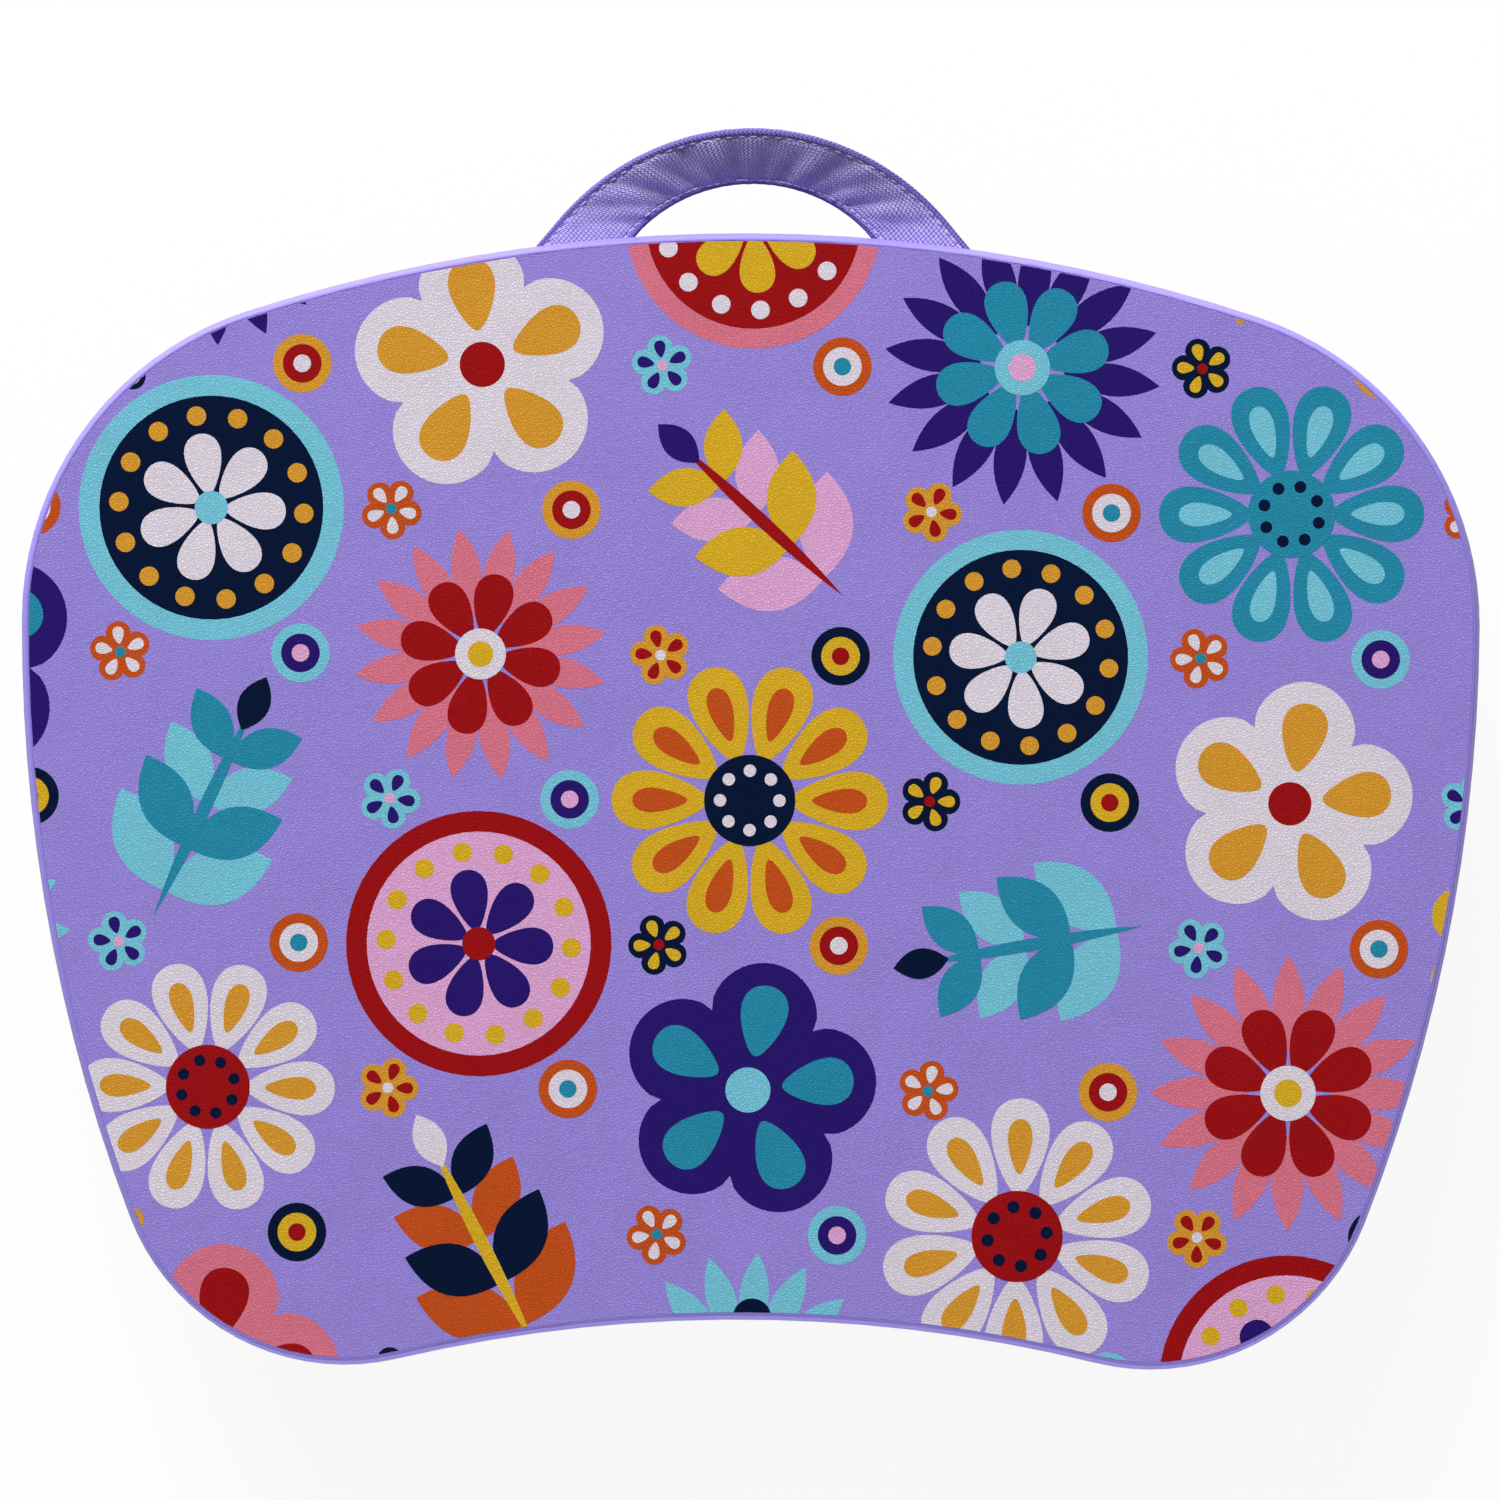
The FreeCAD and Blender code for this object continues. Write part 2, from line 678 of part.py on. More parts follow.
def strap_edge(half_span, rise, lift, share):
    """A point on one edge of the handle's strap, at a share of the way from the middle to a fold."""
    radius = (half_span ** 2 + rise ** 2) / (2 * rise)
    turn = 2 * math.atan2(rise, half_span) * share
    raised = lift * (1 - share ** 2) ** 2
    centre_y = float(fold_y) + rise - radius
    return Vector(radius * math.sin(turn), centre_y + radius * math.cos(turn), float(fold_level) + raised)


def strap_frame(share):
    """The strap's cross-section: its middle, its half width, and its axes across and through."""
    inner = strap_edge(float(inner_half), float(inner_rise), mm.handle_inner_lift, share)
    outer = strap_edge(float(outer_half), float(outer_rise), mm.handle_outer_lift, share)
    across = (outer - inner).normalize()
    through = (UP - across * UP.dot(across)).normalize()
    return (inner + outer) / 2, (outer - inner).Length / 2, across, through


def strap_half_thickness(share):
    fold_half = mm.tail_thickness / 2
    return fold_half + (mm.handle_thickness / 2 - fold_half) * (1 - share ** 4)


def sleeve_wire(share):
    """The sleeve's section: two shallow arcs between its thin sewn edges."""
    middle, half, across, through = strap_frame(share)
    edge = through * (mm.handle_edge_thickness / 2)
    crown = through * strap_half_thickness(share)
    inner, outer = middle - across * half, middle + across * half
    return Part.Wire([
        Part.Arc(inner + edge, middle + crown, outer + edge).toShape(),
        Part.makeLine(outer + edge, outer - edge),
        Part.Arc(outer - edge, middle - crown, inner - edge).toShape(),
        Part.makeLine(inner - edge, inner + edge),
    ])


def core_wire(share, clearance):
    """The section of the webbing in the sleeve, or of the space for it."""
    middle, half, across, through = strap_frame(share)
    side = across * (half - mm.core_trim + clearance)
    rise = through * (mm.core_thickness / 2 + clearance)
    points = [middle - side - rise, middle + side - rise, middle + side + rise, middle - side + rise]
    return Part.makePolygon(points + points[:1])


def strap_shares(reach):
    return [reach * (2 * step / HANDLE_STEPS - 1) for step in range(HANDLE_STEPS + 1)]


def core_solid(clearance):
    reach = CORE_SPAN_SHARE + clearance / float(outer_half)
    return smooth_loft([core_wire(share, clearance) for share in strap_shares(reach)])


def make_handle_sleeve():
    strap = smooth_loft([sleeve_wire(share) for share in strap_shares(1)])
    length = float(outer_half) - float(inner_half)
    folds = []
    for start in (float(inner_half), -float(outer_half)):
        base = Vector(start, float(fold_y), float(fold_level))
        folds.append(Part.makeCylinder(mm.tail_thickness / 2, length, base, Vector(1, 0, 0)))
    return new_feature("handle_sleeve", strap.fuse(folds).cut(core_solid(mm.core_clearance)))


def make_handle_core():
    return new_feature("handle_core", core_solid(0))


def make_handle_tail():
    body = new_body("right_handle_tail")
    outline = new_sketch(body, "tail_outline", tail_level)
    far_y = tail_near_y - size.tail_length
    corners = (
        (inner_half, tail_near_y),
        (inner_half + tail_shift, far_y),
        (outer_half + tail_shift, far_y),
        (outer_half, tail_near_y),
    )
    draw_polygon(outline, corners)
    pad(body, outline, size.tail_thickness)
    holes = new_sketch(body, "tail_holes", tail_level)
    draw_circles(holes, clamp_screw_places()[:2], size.screw_radius + size.hole_clearance)
    pocket(body, holes, size.tail_thickness + size.overrun, upward=True)
    return body


def make_tail_clamp():
    body = new_body("right_tail_clamp")
    outline = new_sketch(body, "clamp_outline", clamp_level)
    left, right = clamp_x - size.clamp_length / 2, clamp_x + size.clamp_length / 2
    front, back = clamp_y - size.clamp_depth / 2, clamp_y + size.clamp_depth / 2
    draw_polygon(outline, rectangle(left, right, front, back))
    bar = pad(body, outline, size.clamp_thickness)
    upright = shape_names(bar, "Edge", lambda edge: edge.BoundBox.ZLength > mm.clamp_thickness / 2)
    rounding = body.newObject("PartDesign::Fillet", "clamp_corners")
    rounding.Base = (bar, upright)
    bind(rounding, "Radius", size.clamp_corner_radius)
    doc.recompute()
    holes = new_sketch(body, "clamp_holes", clamp_level)
    draw_circles(holes, clamp_screw_places()[:2], size.screw_radius + size.hole_clearance)
    pocket(body, holes, size.clamp_thickness + size.overrun, upward=True)
    return body


def make_screw(name, shank):
    """A cross-head screw that points up, with the top of its head's seat at the origin."""
    head = doc.addObject("Part::Cylinder", name + "_head")
    bind(head, "Radius", size.head_radius)
    bind(head, "Height", size.head_height)
    bind(head, "Placement.Base.z", -size.head_height)
    stem = doc.addObject("Part::Cylinder", name + "_stem")
    bind(stem, "Radius", size.screw_radius)
    bind(stem, "Height", shank - size.screw_tip)
    tip = doc.addObject("Part::Cone", name + "_tip")
    bind(tip, "Radius1", size.screw_radius)
    bind(tip, "Radius2", size.screw_radius / 2)
    bind(tip, "Height", size.screw_tip)
    bind(tip, "Placement.Base.z", shank - size.screw_tip)
    blank = doc.addObject("Part::MultiFuse", name + "_blank")
    blank.Shapes = [head, stem, tip]
    slots = []
    for index, (along, across) in enumerate((
        (size.recess_length, size.recess_width), (size.recess_width, size.recess_length)
    )):
        slot = doc.addObject("Part::Box", "%s_slot_%d" % (name, index))
        bind(slot, "Length", along)
        bind(slot, "Width", across)
        bind(slot, "Height", size.recess_depth + size.overrun)
        bind(slot, "Placement.Base.x", -along / 2)
        bind(slot, "Placement.Base.y", -across / 2)
        bind(slot, "Placement.Base.z", -size.head_height - size.overrun)
        slots.append(slot)
    recess = doc.addObject("Part::MultiFuse", name + "_recess")
    recess.Shapes = slots
    screw = doc.addObject("Part::Cut", name)
    screw.Base = blank
    screw.Tool = recess
    doc.recompute()
    return screw


def make_screw_group(label, pattern, places, level):
    """One node of equal screws, each a solid of its own."""
    solids = []
    for x, y in places:
        solid = pattern.Shape.Solids[0].copy()
        solid.translate(Vector(x, y, float(level)))
        solids.append(solid)
    return new_feature(label, Part.makeCompound(solids))


def make_frame_screws():
    seat = lip_level + size.head_height
    shank = cloth_level + size.screw_hold - seat
    pattern = make_screw("frame_screw_pattern", shank)
    return make_screw_group("frame_screws", pattern, frame_screw_places(), seat)


def make_handle_screws():
    shank = cloth_level + size.screw_hold - clamp_level
    pattern = make_screw("handle_screw_pattern", shank)
    return make_screw_group("handle_screws", pattern, clamp_screw_places(), clamp_level)


def check(parts):
    """Stops on any object that failed, or a sub-part without a sound shape."""
    failed = [item.Name for item in doc.Objects if {"Invalid", "Error"} & set(item.State)]
    failed += [item.Label for item in parts if item.Shape.isNull() or not item.Shape.isValid()]
    if failed:
        raise RuntimeError("failed: " + ", ".join(failed))


def main():
    parts = [
        make_tray_shell(),
        make_print_film(),
        make_retainer_frame(),
        make_frame_screws(),
        make_backing_cloth(),
        make_centre_panel(),
        make_handle_sleeve(),
        make_handle_core(),
        make_handle_screws(),
    ]
    for make in (
        make_bolster_gusset,
        make_bolster_panel,
        make_bolster_fill,
        make_bolster_piping,
        make_handle_tail,
        make_tail_clamp,
    ):
        right = make()
        left = mirror_of(right, right.Label.replace("right", "left"))
        parts += [right, left]
    doc.recompute()
    check(parts)
    os.makedirs("parts", exist_ok=True)
    for part in parts:
        part.Shape.exportStep("parts/%s.step" % part.Label)
        print("%-22s %d solids %10.0f mm3" % (part.Label, len(part.Shape.Solids), part.Shape.Volume))


main()
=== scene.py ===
import json
import logging
import math
from contextlib import contextmanager
from dataclasses import dataclass, replace
from enum import Enum
from functools import cached_property
from typing import Callable, Iterator, Optional, Sequence, Union

import bpy
from mathutils import Color, Matrix, Vector
from mathutils.bvhtree import BVHTree
from mathutils.kdtree import KDTree


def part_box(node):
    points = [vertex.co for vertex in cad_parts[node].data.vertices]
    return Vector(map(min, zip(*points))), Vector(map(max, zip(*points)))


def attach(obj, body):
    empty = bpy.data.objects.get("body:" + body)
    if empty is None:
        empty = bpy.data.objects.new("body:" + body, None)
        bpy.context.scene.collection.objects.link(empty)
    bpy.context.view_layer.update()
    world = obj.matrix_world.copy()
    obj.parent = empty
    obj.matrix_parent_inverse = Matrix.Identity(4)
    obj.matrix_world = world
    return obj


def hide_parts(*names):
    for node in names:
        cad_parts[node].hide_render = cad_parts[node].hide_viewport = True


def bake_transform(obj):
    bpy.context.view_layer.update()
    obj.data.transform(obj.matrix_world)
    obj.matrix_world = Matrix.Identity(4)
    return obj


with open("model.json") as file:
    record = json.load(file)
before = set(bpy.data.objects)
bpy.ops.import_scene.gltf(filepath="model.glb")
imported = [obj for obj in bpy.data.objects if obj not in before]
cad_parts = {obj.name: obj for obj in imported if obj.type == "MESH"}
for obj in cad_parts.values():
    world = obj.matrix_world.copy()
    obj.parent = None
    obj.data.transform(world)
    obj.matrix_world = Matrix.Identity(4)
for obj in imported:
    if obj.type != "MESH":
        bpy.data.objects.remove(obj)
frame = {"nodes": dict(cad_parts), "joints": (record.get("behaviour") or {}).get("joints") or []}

log = logging.getLogger("lap_tray")

Colour = tuple[float, float, float, float]
Piece = bpy.types.Object
Material = bpy.types.Material
Setting = Union[float, str, bool, tuple]
Number = Union["Wire", float]
Copy = tuple["Stamp", Matrix]

BYTE = 255
CLOTH_MAP = "cloth"
TRAY = "tray"
UP = Vector((0, 0, 1))
WHITE = (1.0, 1.0, 1.0, 1.0)
MERGE_GAP = 0.00001
FEW_OCTAVES, SOME_OCTAVES, MANY_OCTAVES = 2.0, 3.0, 4.0
CRISP_ANGLE, SOFT_ANGLE, ROUND_ANGLE = (math.radians(degrees) for degrees in (40, 70, 80))


def linear(red: int, green: int, blue: int) -> Colour:
    """Turns a colour as seen on a screen, in bytes, into the linear one that a shader takes."""
    return (*(Color((red, green, blue)) / BYTE).from_srgb_to_scene_linear(), 1.0)


def shaded(colour: Colour, factor: float) -> Colour:
    """A colour made lighter or darker by a factor."""
    return (*(min(1.0, part * factor) for part in colour[:3]), 1.0)


def math_node(operation: str, swapped: bool = False) -> Callable[..., "Wire"]:
    """Makes a method of Wire that adds a Math node.

    Args:
        operation: What the node works out.
        swapped: Whether the wire comes after the other value.

    Returns:
        The method.
    """

    def method(wire: "Wire", *others: Number) -> "Wire":
        """Adds the node, with the wire and the other values plugged in."""
        values = (*others, wire) if swapped else (wire, *others)
        return wire.bench.node("ShaderNodeMath", dict(enumerate(values)), operation=operation)

    return method


@dataclass(frozen=True)
class Wire:
    """An output of a shader node, with arithmetic that adds Math nodes."""

    bench: "NodeBench"
    socket: bpy.types.NodeSocket

    __add__ = math_node("ADD")
    __mul__ = math_node("MULTIPLY")
    __sub__ = math_node("SUBTRACT")
    __rsub__ = math_node("SUBTRACT", swapped=True)
    __truediv__ = math_node("DIVIDE")
    __mod__ = math_node("FLOORED_MODULO")
    whole = math_node("FLOOR")
    size = math_node("ABSOLUTE")
    sine = math_node("SINE")

    def bow(self) -> "Wire":
        """A row of round bows, one for each whole number: 0 at the ends, 1 in the middle."""
        return (self * math.pi).sine().size()

    def clamped(self) -> "Wire":
        """This value, held between 0 and 1."""
        return self.bench.node("ShaderNodeClamp", {"Value": self})


SOCKETS = {
    "colour": "Base Color",
    "roughness": "Roughness",
    "metallic": "Metallic",
    "normal": "Normal",
    "specular": "Specular IOR Level",
    "sheen": "Sheen Weight",
    "sheen_roughness": "Sheen Roughness",
}
MIX_SHARE, MIX_FIRST, MIX_SECOND, MIX_RESULT = 0, 6, 7, 2


class NodeBench:
    """Adds nodes to one material, or to the world."""

    def __init__(self, owner: Union[Material, bpy.types.World]) -> None:
        """Starts on the nodes that a material or world has.

        Args:
            owner: The material or world.
        """
        owner.use_nodes = True
        self.owner = owner
        self.tree = owner.node_tree

    def node(
        self, kind: str, sockets: Optional[dict] = None, output: Union[int, str] = 0, **settings: Setting
    ) -> Wire:
        """Adds a node.

        Args:
            kind: The node's type.
            sockets: Values or wires for its inputs, by name or number.
            output: Which output to use.
            settings: The node's own settings, set first.

        Returns:
            That output.
        """
        node = self.tree.nodes.new(kind)
        for name, value in settings.items():
            setattr(node, name, value)
        for key, value in (sockets or {}).items():
            self.plug(node.inputs[key], value)
        return Wire(self, node.outputs[output])

    def plug(self, socket: bpy.types.NodeSocket, value: Union[Wire, Setting]) -> None:
        """Links a wire to a socket, or sets the socket's own value.

        Args:
            socket: The socket.
            value: The wire or the value.
        """
        if isinstance(value, Wire):
            self.tree.links.new(value.socket, socket)
        else:
            socket.default_value = value

    def place(self) -> Wire:
        """The place on the piece, in metres."""
        return self.node("ShaderNodeTexCoord", output="Object")

    def part(self, vector: Wire, axis: str) -> Wire:
        """One part of a vector."""
        return self.node("ShaderNodeSeparateXYZ", {0: vector}, axis)

    def noise(self, place: Wire, size: float, detail: float = SOME_OCTAVES) -> Wire:
        """Soft noise with marks of about a given size, from 0 to 1."""
        return self.node("ShaderNodeTexNoise", {"Vector": place, "Scale": 1 / size, "Detail": detail}, "Fac")

    def mix(self, share: Number, first: Union[Wire, Colour], second: Union[Wire, Colour]) -> Wire:
        """A blend of two colours."""
        sockets = {MIX_SHARE: share, MIX_FIRST: first, MIX_SECOND: second}
        return self.node("ShaderNodeMix", sockets, MIX_RESULT, data_type="RGBA")

    def bump(self, height: Wire, depth: float) -> Wire:
        """A surface normal from a height between 0 and 1 that stands for a depth in metres."""
        return self.node("ShaderNodeBump", {"Height": height, "Distance": depth, "Strength": 1.0}, "Normal")

    def finish(self, **values: Union[Wire, Setting]) -> Material:
        """Sets the sockets of the material's shader.

        Args:
            values: A value or wire for each socket, by the socket's plain name.

        Returns:
            The finished material.
        """
        shader = self.tree.nodes["Principled BSDF"]
        for name, value in values.items():
            self.plug(shader.inputs[SOCKETS[name]], value)
        return self.owner


@dataclass(frozen=True)
class Moulding:
    """Moulded plastic with a fine spark texture and faint flow marks."""

    name: str
    light: Colour
    dark: Colour
    grain: float
    depth: float
    specular: float
    roughness: float = 0.5
    flow_size: float = 0.06
    flow_share: float = 0.75
    rub_size: float = 0.004
    rub_range: float = 0.16

    def make(self) -> Material:
        """Makes the material.

        Returns:
            The material.
        """
        bench = NodeBench(bpy.data.materials.new(self.name))
        place = bench.place()
        flow = bench.noise(place, self.flow_size)
        speck = bench.noise(place, self.grain, FEW_OCTAVES)
        rub = bench.noise(place, self.rub_size, MANY_OCTAVES)
        tone = flow * self.flow_share + speck * (1 - self.flow_share)
        return bench.finish(
            colour=bench.mix(tone, self.dark, self.light),
            roughness=(rub - 1 / 2) * self.rub_range + self.roughness,
            specular=self.specular,
            normal=bench.bump(speck, self.depth),
        )


@dataclass(frozen=True)
class Film:
    """Printed film with a fine leather grain."""

    name: str
    colour: Colour
    mottle: float = 0.2
    pebble: float = 0.0009
    pebble_gain: float = 3.0
    depth: float = 0.00007
    sway: float = 0.0033
    cloud_size: float = 0.02
    cloud_share: float = 0.3
    roughness: float = 0.7
    polish: float = 0.12
    specular: float = 0.04

    def make(self) -> Material:
        """Makes the material.

        Returns:
            The material.
        """
        bench = NodeBench(bpy.data.materials.new(self.name))
        place = bench.place()
        wander = bench.node("ShaderNodeTexNoise", {"Vector": place, "Scale": 1 / self.sway}, "Color")
        shift = bench.node("ShaderNodeVectorMath", {0: wander, "Scale": self.pebble}, operation="SCALE")
        swayed = bench.node("ShaderNodeVectorMath", {0: place, 1: shift}, operation="ADD")
        cells = {"Vector": swayed, "Scale": 1 / self.pebble}
        crease = bench.node("ShaderNodeTexVoronoi", cells, "Distance", feature="DISTANCE_TO_EDGE")
        dome = (crease * self.pebble_gain).clamped()
        tone = dome * (1 - self.cloud_share) + bench.noise(place, self.cloud_size) * self.cloud_share
        dark, light = (shaded(self.colour, 1 + change) for change in (-self.mottle, self.mottle))
        return bench.finish(
            colour=bench.mix(tone, dark, light),
            roughness=self.roughness - dome * self.polish,
            specular=self.specular,
            normal=bench.bump(dome, self.depth),
        )


@dataclass(frozen=True)
class Weave:
    """Plain-woven cloth that follows the piece's cloth map.

    Where a hem is given, the cloth beyond that distance from the map's middle line is darker, as painted
    shade on the hem.
    """

    name: str
    light: Colour
    dark: Colour
    thread: float
    depth: float
    sheen: float = 0.2
    specular: float = 0.15
    bias: bool = False
    # painted shade on the hem band: where it starts, how soft its edge is, and how much it darkens
    hem: float = 0.0
    hem_shade_blur: float = 0.0004
    hem_share: float = 0.8
    thread_share: float = 0.5
    slub_size: float = 0.003
    slub_share: float = 0.3
    slub_height: float = 0.4
    fade_size: float = 0.035
    roughness: float = 0.95
    polish: float = 0.15
    sheen_roughness: float = 0.5

    def make(self) -> Material:
        """Makes the material.

        Returns:
            The material.
        """
        bench = NodeBench(bpy.data.materials.new(self.name))
        cloth = bench.node("ShaderNodeUVMap", output="UV", uv_map=CLOTH_MAP)
        run, side = (bench.part(cloth, axis) for axis in "XY")
        warp, weft = run / self.thread, side / self.thread
        across, along = (warp + weft, warp - weft) if self.bias else (warp, weft)
        over = (across.whole() + along.whole()) % 2
        threads = over * across.bow() + (1 - over) * along.bow()
        place = bench.place()
        slub = bench.noise(place, self.slub_size, MANY_OCTAVES)
        fade_share = 1 - self.thread_share - self.slub_share
        fade = bench.noise(place, self.fade_size) * fade_share
        tone = threads * self.thread_share + slub * self.slub_share + fade
        # painted shade: the hem band beyond this distance from the middle line is darkened
        if self.hem:
            hem_shade = ((side.size() - self.hem) / self.hem_shade_blur).clamped()
            tone = tone * (1 - hem_shade * self.hem_share)
        return bench.finish(
            colour=bench.mix(tone.clamped(), self.dark, self.light),
            roughness=self.roughness - threads * self.polish,
            specular=self.specular,
            sheen=self.sheen,
            sheen_roughness=self.sheen_roughness,
            normal=bench.bump(threads + slub * self.slub_height, self.depth),
        )


@dataclass(frozen=True)
class Thread:
    """Twisted sewing thread."""

    name: str
    light: Colour
    dark: Colour
    twist: float = 900.0
    waver: float = 1.0
    ply_share: float = 0.6
    fuzz_size: float = 0.002
    roughness: float = 0.55
    roughness_range: float = 0.15
    sheen: float = 0.3
    depth: float = 0.00005

    def make(self) -> Material:
        """Makes the material.

        Returns:
            The material.
        """
        bench = NodeBench(bpy.data.materials.new(self.name))
        place = bench.place()
        bands = {"Vector": place, "Scale": self.twist, "Distortion": self.waver}
        ply = bench.node("ShaderNodeTexWave", bands, "Fac", bands_direction="DIAGONAL")
        tone = ply * self.ply_share + bench.noise(place, self.fuzz_size) * (1 - self.ply_share)
        return bench.finish(
            colour=bench.mix(tone.clamped(), self.dark, self.light),
            roughness=ply * self.roughness_range + self.roughness,
            sheen=self.sheen,
            normal=bench.bump(ply, self.depth),
        )


@dataclass(frozen=True)
class Steel:
    """Plated screw steel with turning marks."""

    name: str
    light: Colour
    dark: Colour
    scratch_size: float = 0.0006
    dull_size: float = 0.004
    roughness: float = 0.24
    roughness_range: float = 0.2
    depth: float = 0.00002

    def make(self) -> Material:
        """Makes the material.

        Returns:
            The material.
        """
        bench = NodeBench(bpy.data.materials.new(self.name))
        place = bench.place()
        scratch = bench.noise(place, self.scratch_size, MANY_OCTAVES)
        return bench.finish(
            colour=bench.mix(bench.noise(place, self.dull_size), self.dark, self.light),
            metallic=1.0,
            roughness=scratch * self.roughness_range + self.roughness,
            normal=bench.bump(scratch, self.depth),
        )


class Finish(Enum):
    """The object's finishes."""

    TRAY = Moulding(
        "tray_moulding", linear(147, 132, 221), linear(140, 125, 214),
        grain=0.0009, depth=0.000012, specular=0.06,
    )
    FRAME = Moulding(
        "frame_moulding", linear(66, 58, 92), linear(54, 47, 78), grain=0.0012, depth=0.00003, specular=0.5
    )
    GROUND = Film("film_ground", linear(146, 129, 208))
    CUSHION = Weave(
        "cushion_cloth", linear(126, 110, 184), linear(84, 70, 140), thread=0.0008, depth=0.00022
    )
    PIPING = Weave("piping_cloth", linear(104, 90, 164), linear(66, 54, 118), thread=0.0007, depth=0.0002)
    BACKING = Weave(
        "backing_cloth", linear(92, 80, 140), linear(60, 50, 98), thread=0.0009, depth=0.00018, sheen=0.1
    )
    # the strap's hem bands are darkened by painted shade
    STRAP = Weave(
        "strap_cloth", linear(208, 196, 247), linear(96, 80, 164),
        thread=0.0011, depth=0.00025, sheen=0.04, specular=0.05, bias=True, hem=0.0083,
    )
    THREAD = Thread("sewing_thread", linear(206, 197, 240), linear(164, 152, 214))
    STEEL = Steel("screw_plating", linear(196, 196, 200), linear(150, 150, 156))

    @cached_property
    def material(self) -> Material:
        """This finish's material, made the first time that it is asked for."""
        return self.value.make()


def pick(piece: Piece) -> None:
    """Selects one piece alone and makes it the active one.

    Args:
        piece: The piece.
    """
    bpy.ops.object.select_all(action="DESELECT")
    piece.select_set(True)
    bpy.context.view_layer.objects.active = piece


@contextmanager
def editing(piece: Piece) -> Iterator[None]:
    """Opens one piece in edit mode, with all of it selected, and closes it afterwards.

    Args:
        piece: The piece.
    """
    pick(piece)
    bpy.ops.object.mode_set(mode="EDIT")
    bpy.ops.mesh.select_all(action="SELECT")
    yield
    bpy.ops.object.mode_set(mode="OBJECT")


def apply_modifiers(piece: Piece) -> None:
    """Applies a piece's modifiers, in their order.

    Args:
        piece: The piece.
    """
    pick(piece)
    for name in [modifier.name for modifier in piece.modifiers]:
        bpy.ops.object.modifier_apply(modifier=name)


def coat(piece: Piece, material: Material, smooth_angle: float = CRISP_ANGLE) -> None:
    """Gives a piece one material and smooth shading.

    Args:
        piece: The piece.
        material: Its material.
        smooth_angle: The sharpest angle between faces that is still shaded smooth.
    """
    piece.data.materials.clear()
    piece.data.materials.append(material)
    pick(piece)
    bpy.ops.object.shade_smooth_by_angle(angle=smooth_angle)


def dress(node: str, finish: Finish) -> None:
    """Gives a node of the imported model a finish.

    Args:
        node: The node's name.
        finish: The finish that it gets.
    """
    slots = frame["nodes"][node].data.materials
    slots.clear()
    slots.append(finish.material)
    log.info("%s: %s", node, finish.value.name)


def placed(name: str, data: bpy.types.ID) -> Piece:
    """Puts a mesh, a lamp or a camera into the scene.

    Args:
        name: The new object's name.
        data: The mesh, lamp or camera.

    Returns:
        The new object.
    """
    piece = bpy.data.objects.new(name, data)
    bpy.context.scene.collection.objects.link(piece)
    return piece


def copied(node: str, name: str) -> Piece:
    """Copies a node's mesh into a new piece, with its loose triangles merged.

    Args:
        node: The node's name.
        name: The new piece's name.

    Returns:
        The new piece.
    """
    piece = placed(name, frame["nodes"][node].data.copy())
    with editing(piece):
        bpy.ops.mesh.remove_doubles(threshold=MERGE_GAP)
    return piece


def lay_cloth_map(piece: Piece) -> None:
    """Maps a piece's faces for its weave, in metres, each from the side that it faces most.

    Args:
        piece: The piece.
    """
    mesh = piece.data
    layer = mesh.uv_layers.new(name=CLOTH_MAP)
    for face in mesh.polygons:
        facing = [abs(part) for part in face.normal]
        dropped = facing.index(max(facing))
        first, second = (axis for axis in range(3) if axis != dropped)
        for corner in face.loop_indices:
            place = mesh.vertices[mesh.loops[corner].vertex_index].co
            layer.data[corner].uv = (place[first], place[second])


@dataclass(frozen=True)
class Wave:
    """A row of soft waves in sewn cloth."""

    length: float
    height: float
    lean: float = 0.0
    phase: float = 0.0

    def at(self, run: float, across: float = 0.0) -> float:
        """How far the cloth stands out at a distance along the row and a share of its width."""
        return self.height * math.sin(math.tau * run / self.length + self.lean * across + self.phase)

    def fitted(self, loop: float) -> "Wave":
        """This row with its waves a little longer or shorter, so that it closes round a loop of cloth."""
        return replace(self, length=loop / round(loop / self.length))


class Stamp:
    """A small closed form, modelled once and copied to many places."""

    def __init__(self, pattern: Piece) -> None:
        """Keeps a pattern's mesh and clears the pattern away.

        Args:
            pattern: The pattern.
        """
        self.points = [vertex.co.copy() for vertex in pattern.data.vertices]
        self.faces = [tuple(face.vertices) for face in pattern.data.polygons]
        bpy.data.objects.remove(pattern)


def stamped(name: str, copies: Sequence[Copy]) -> Piece:
    """Makes one piece of many copied forms.

    Args:
        name: The piece's name.
        copies: Each form with the matrix that sizes, turns and places it.

    Returns:
        The piece.
    """
    points: list[Vector] = []
    faces: list[tuple[int, ...]] = []
    for stamp, matrix in copies:
        first = len(points)
        points.extend(matrix @ point for point in stamp.points)
        faces.extend(tuple(first + corner for corner in face) for face in stamp.faces)
    mesh = bpy.data.meshes.new(name)
    mesh.from_pydata(points, [], faces)
    return placed(name, mesh)


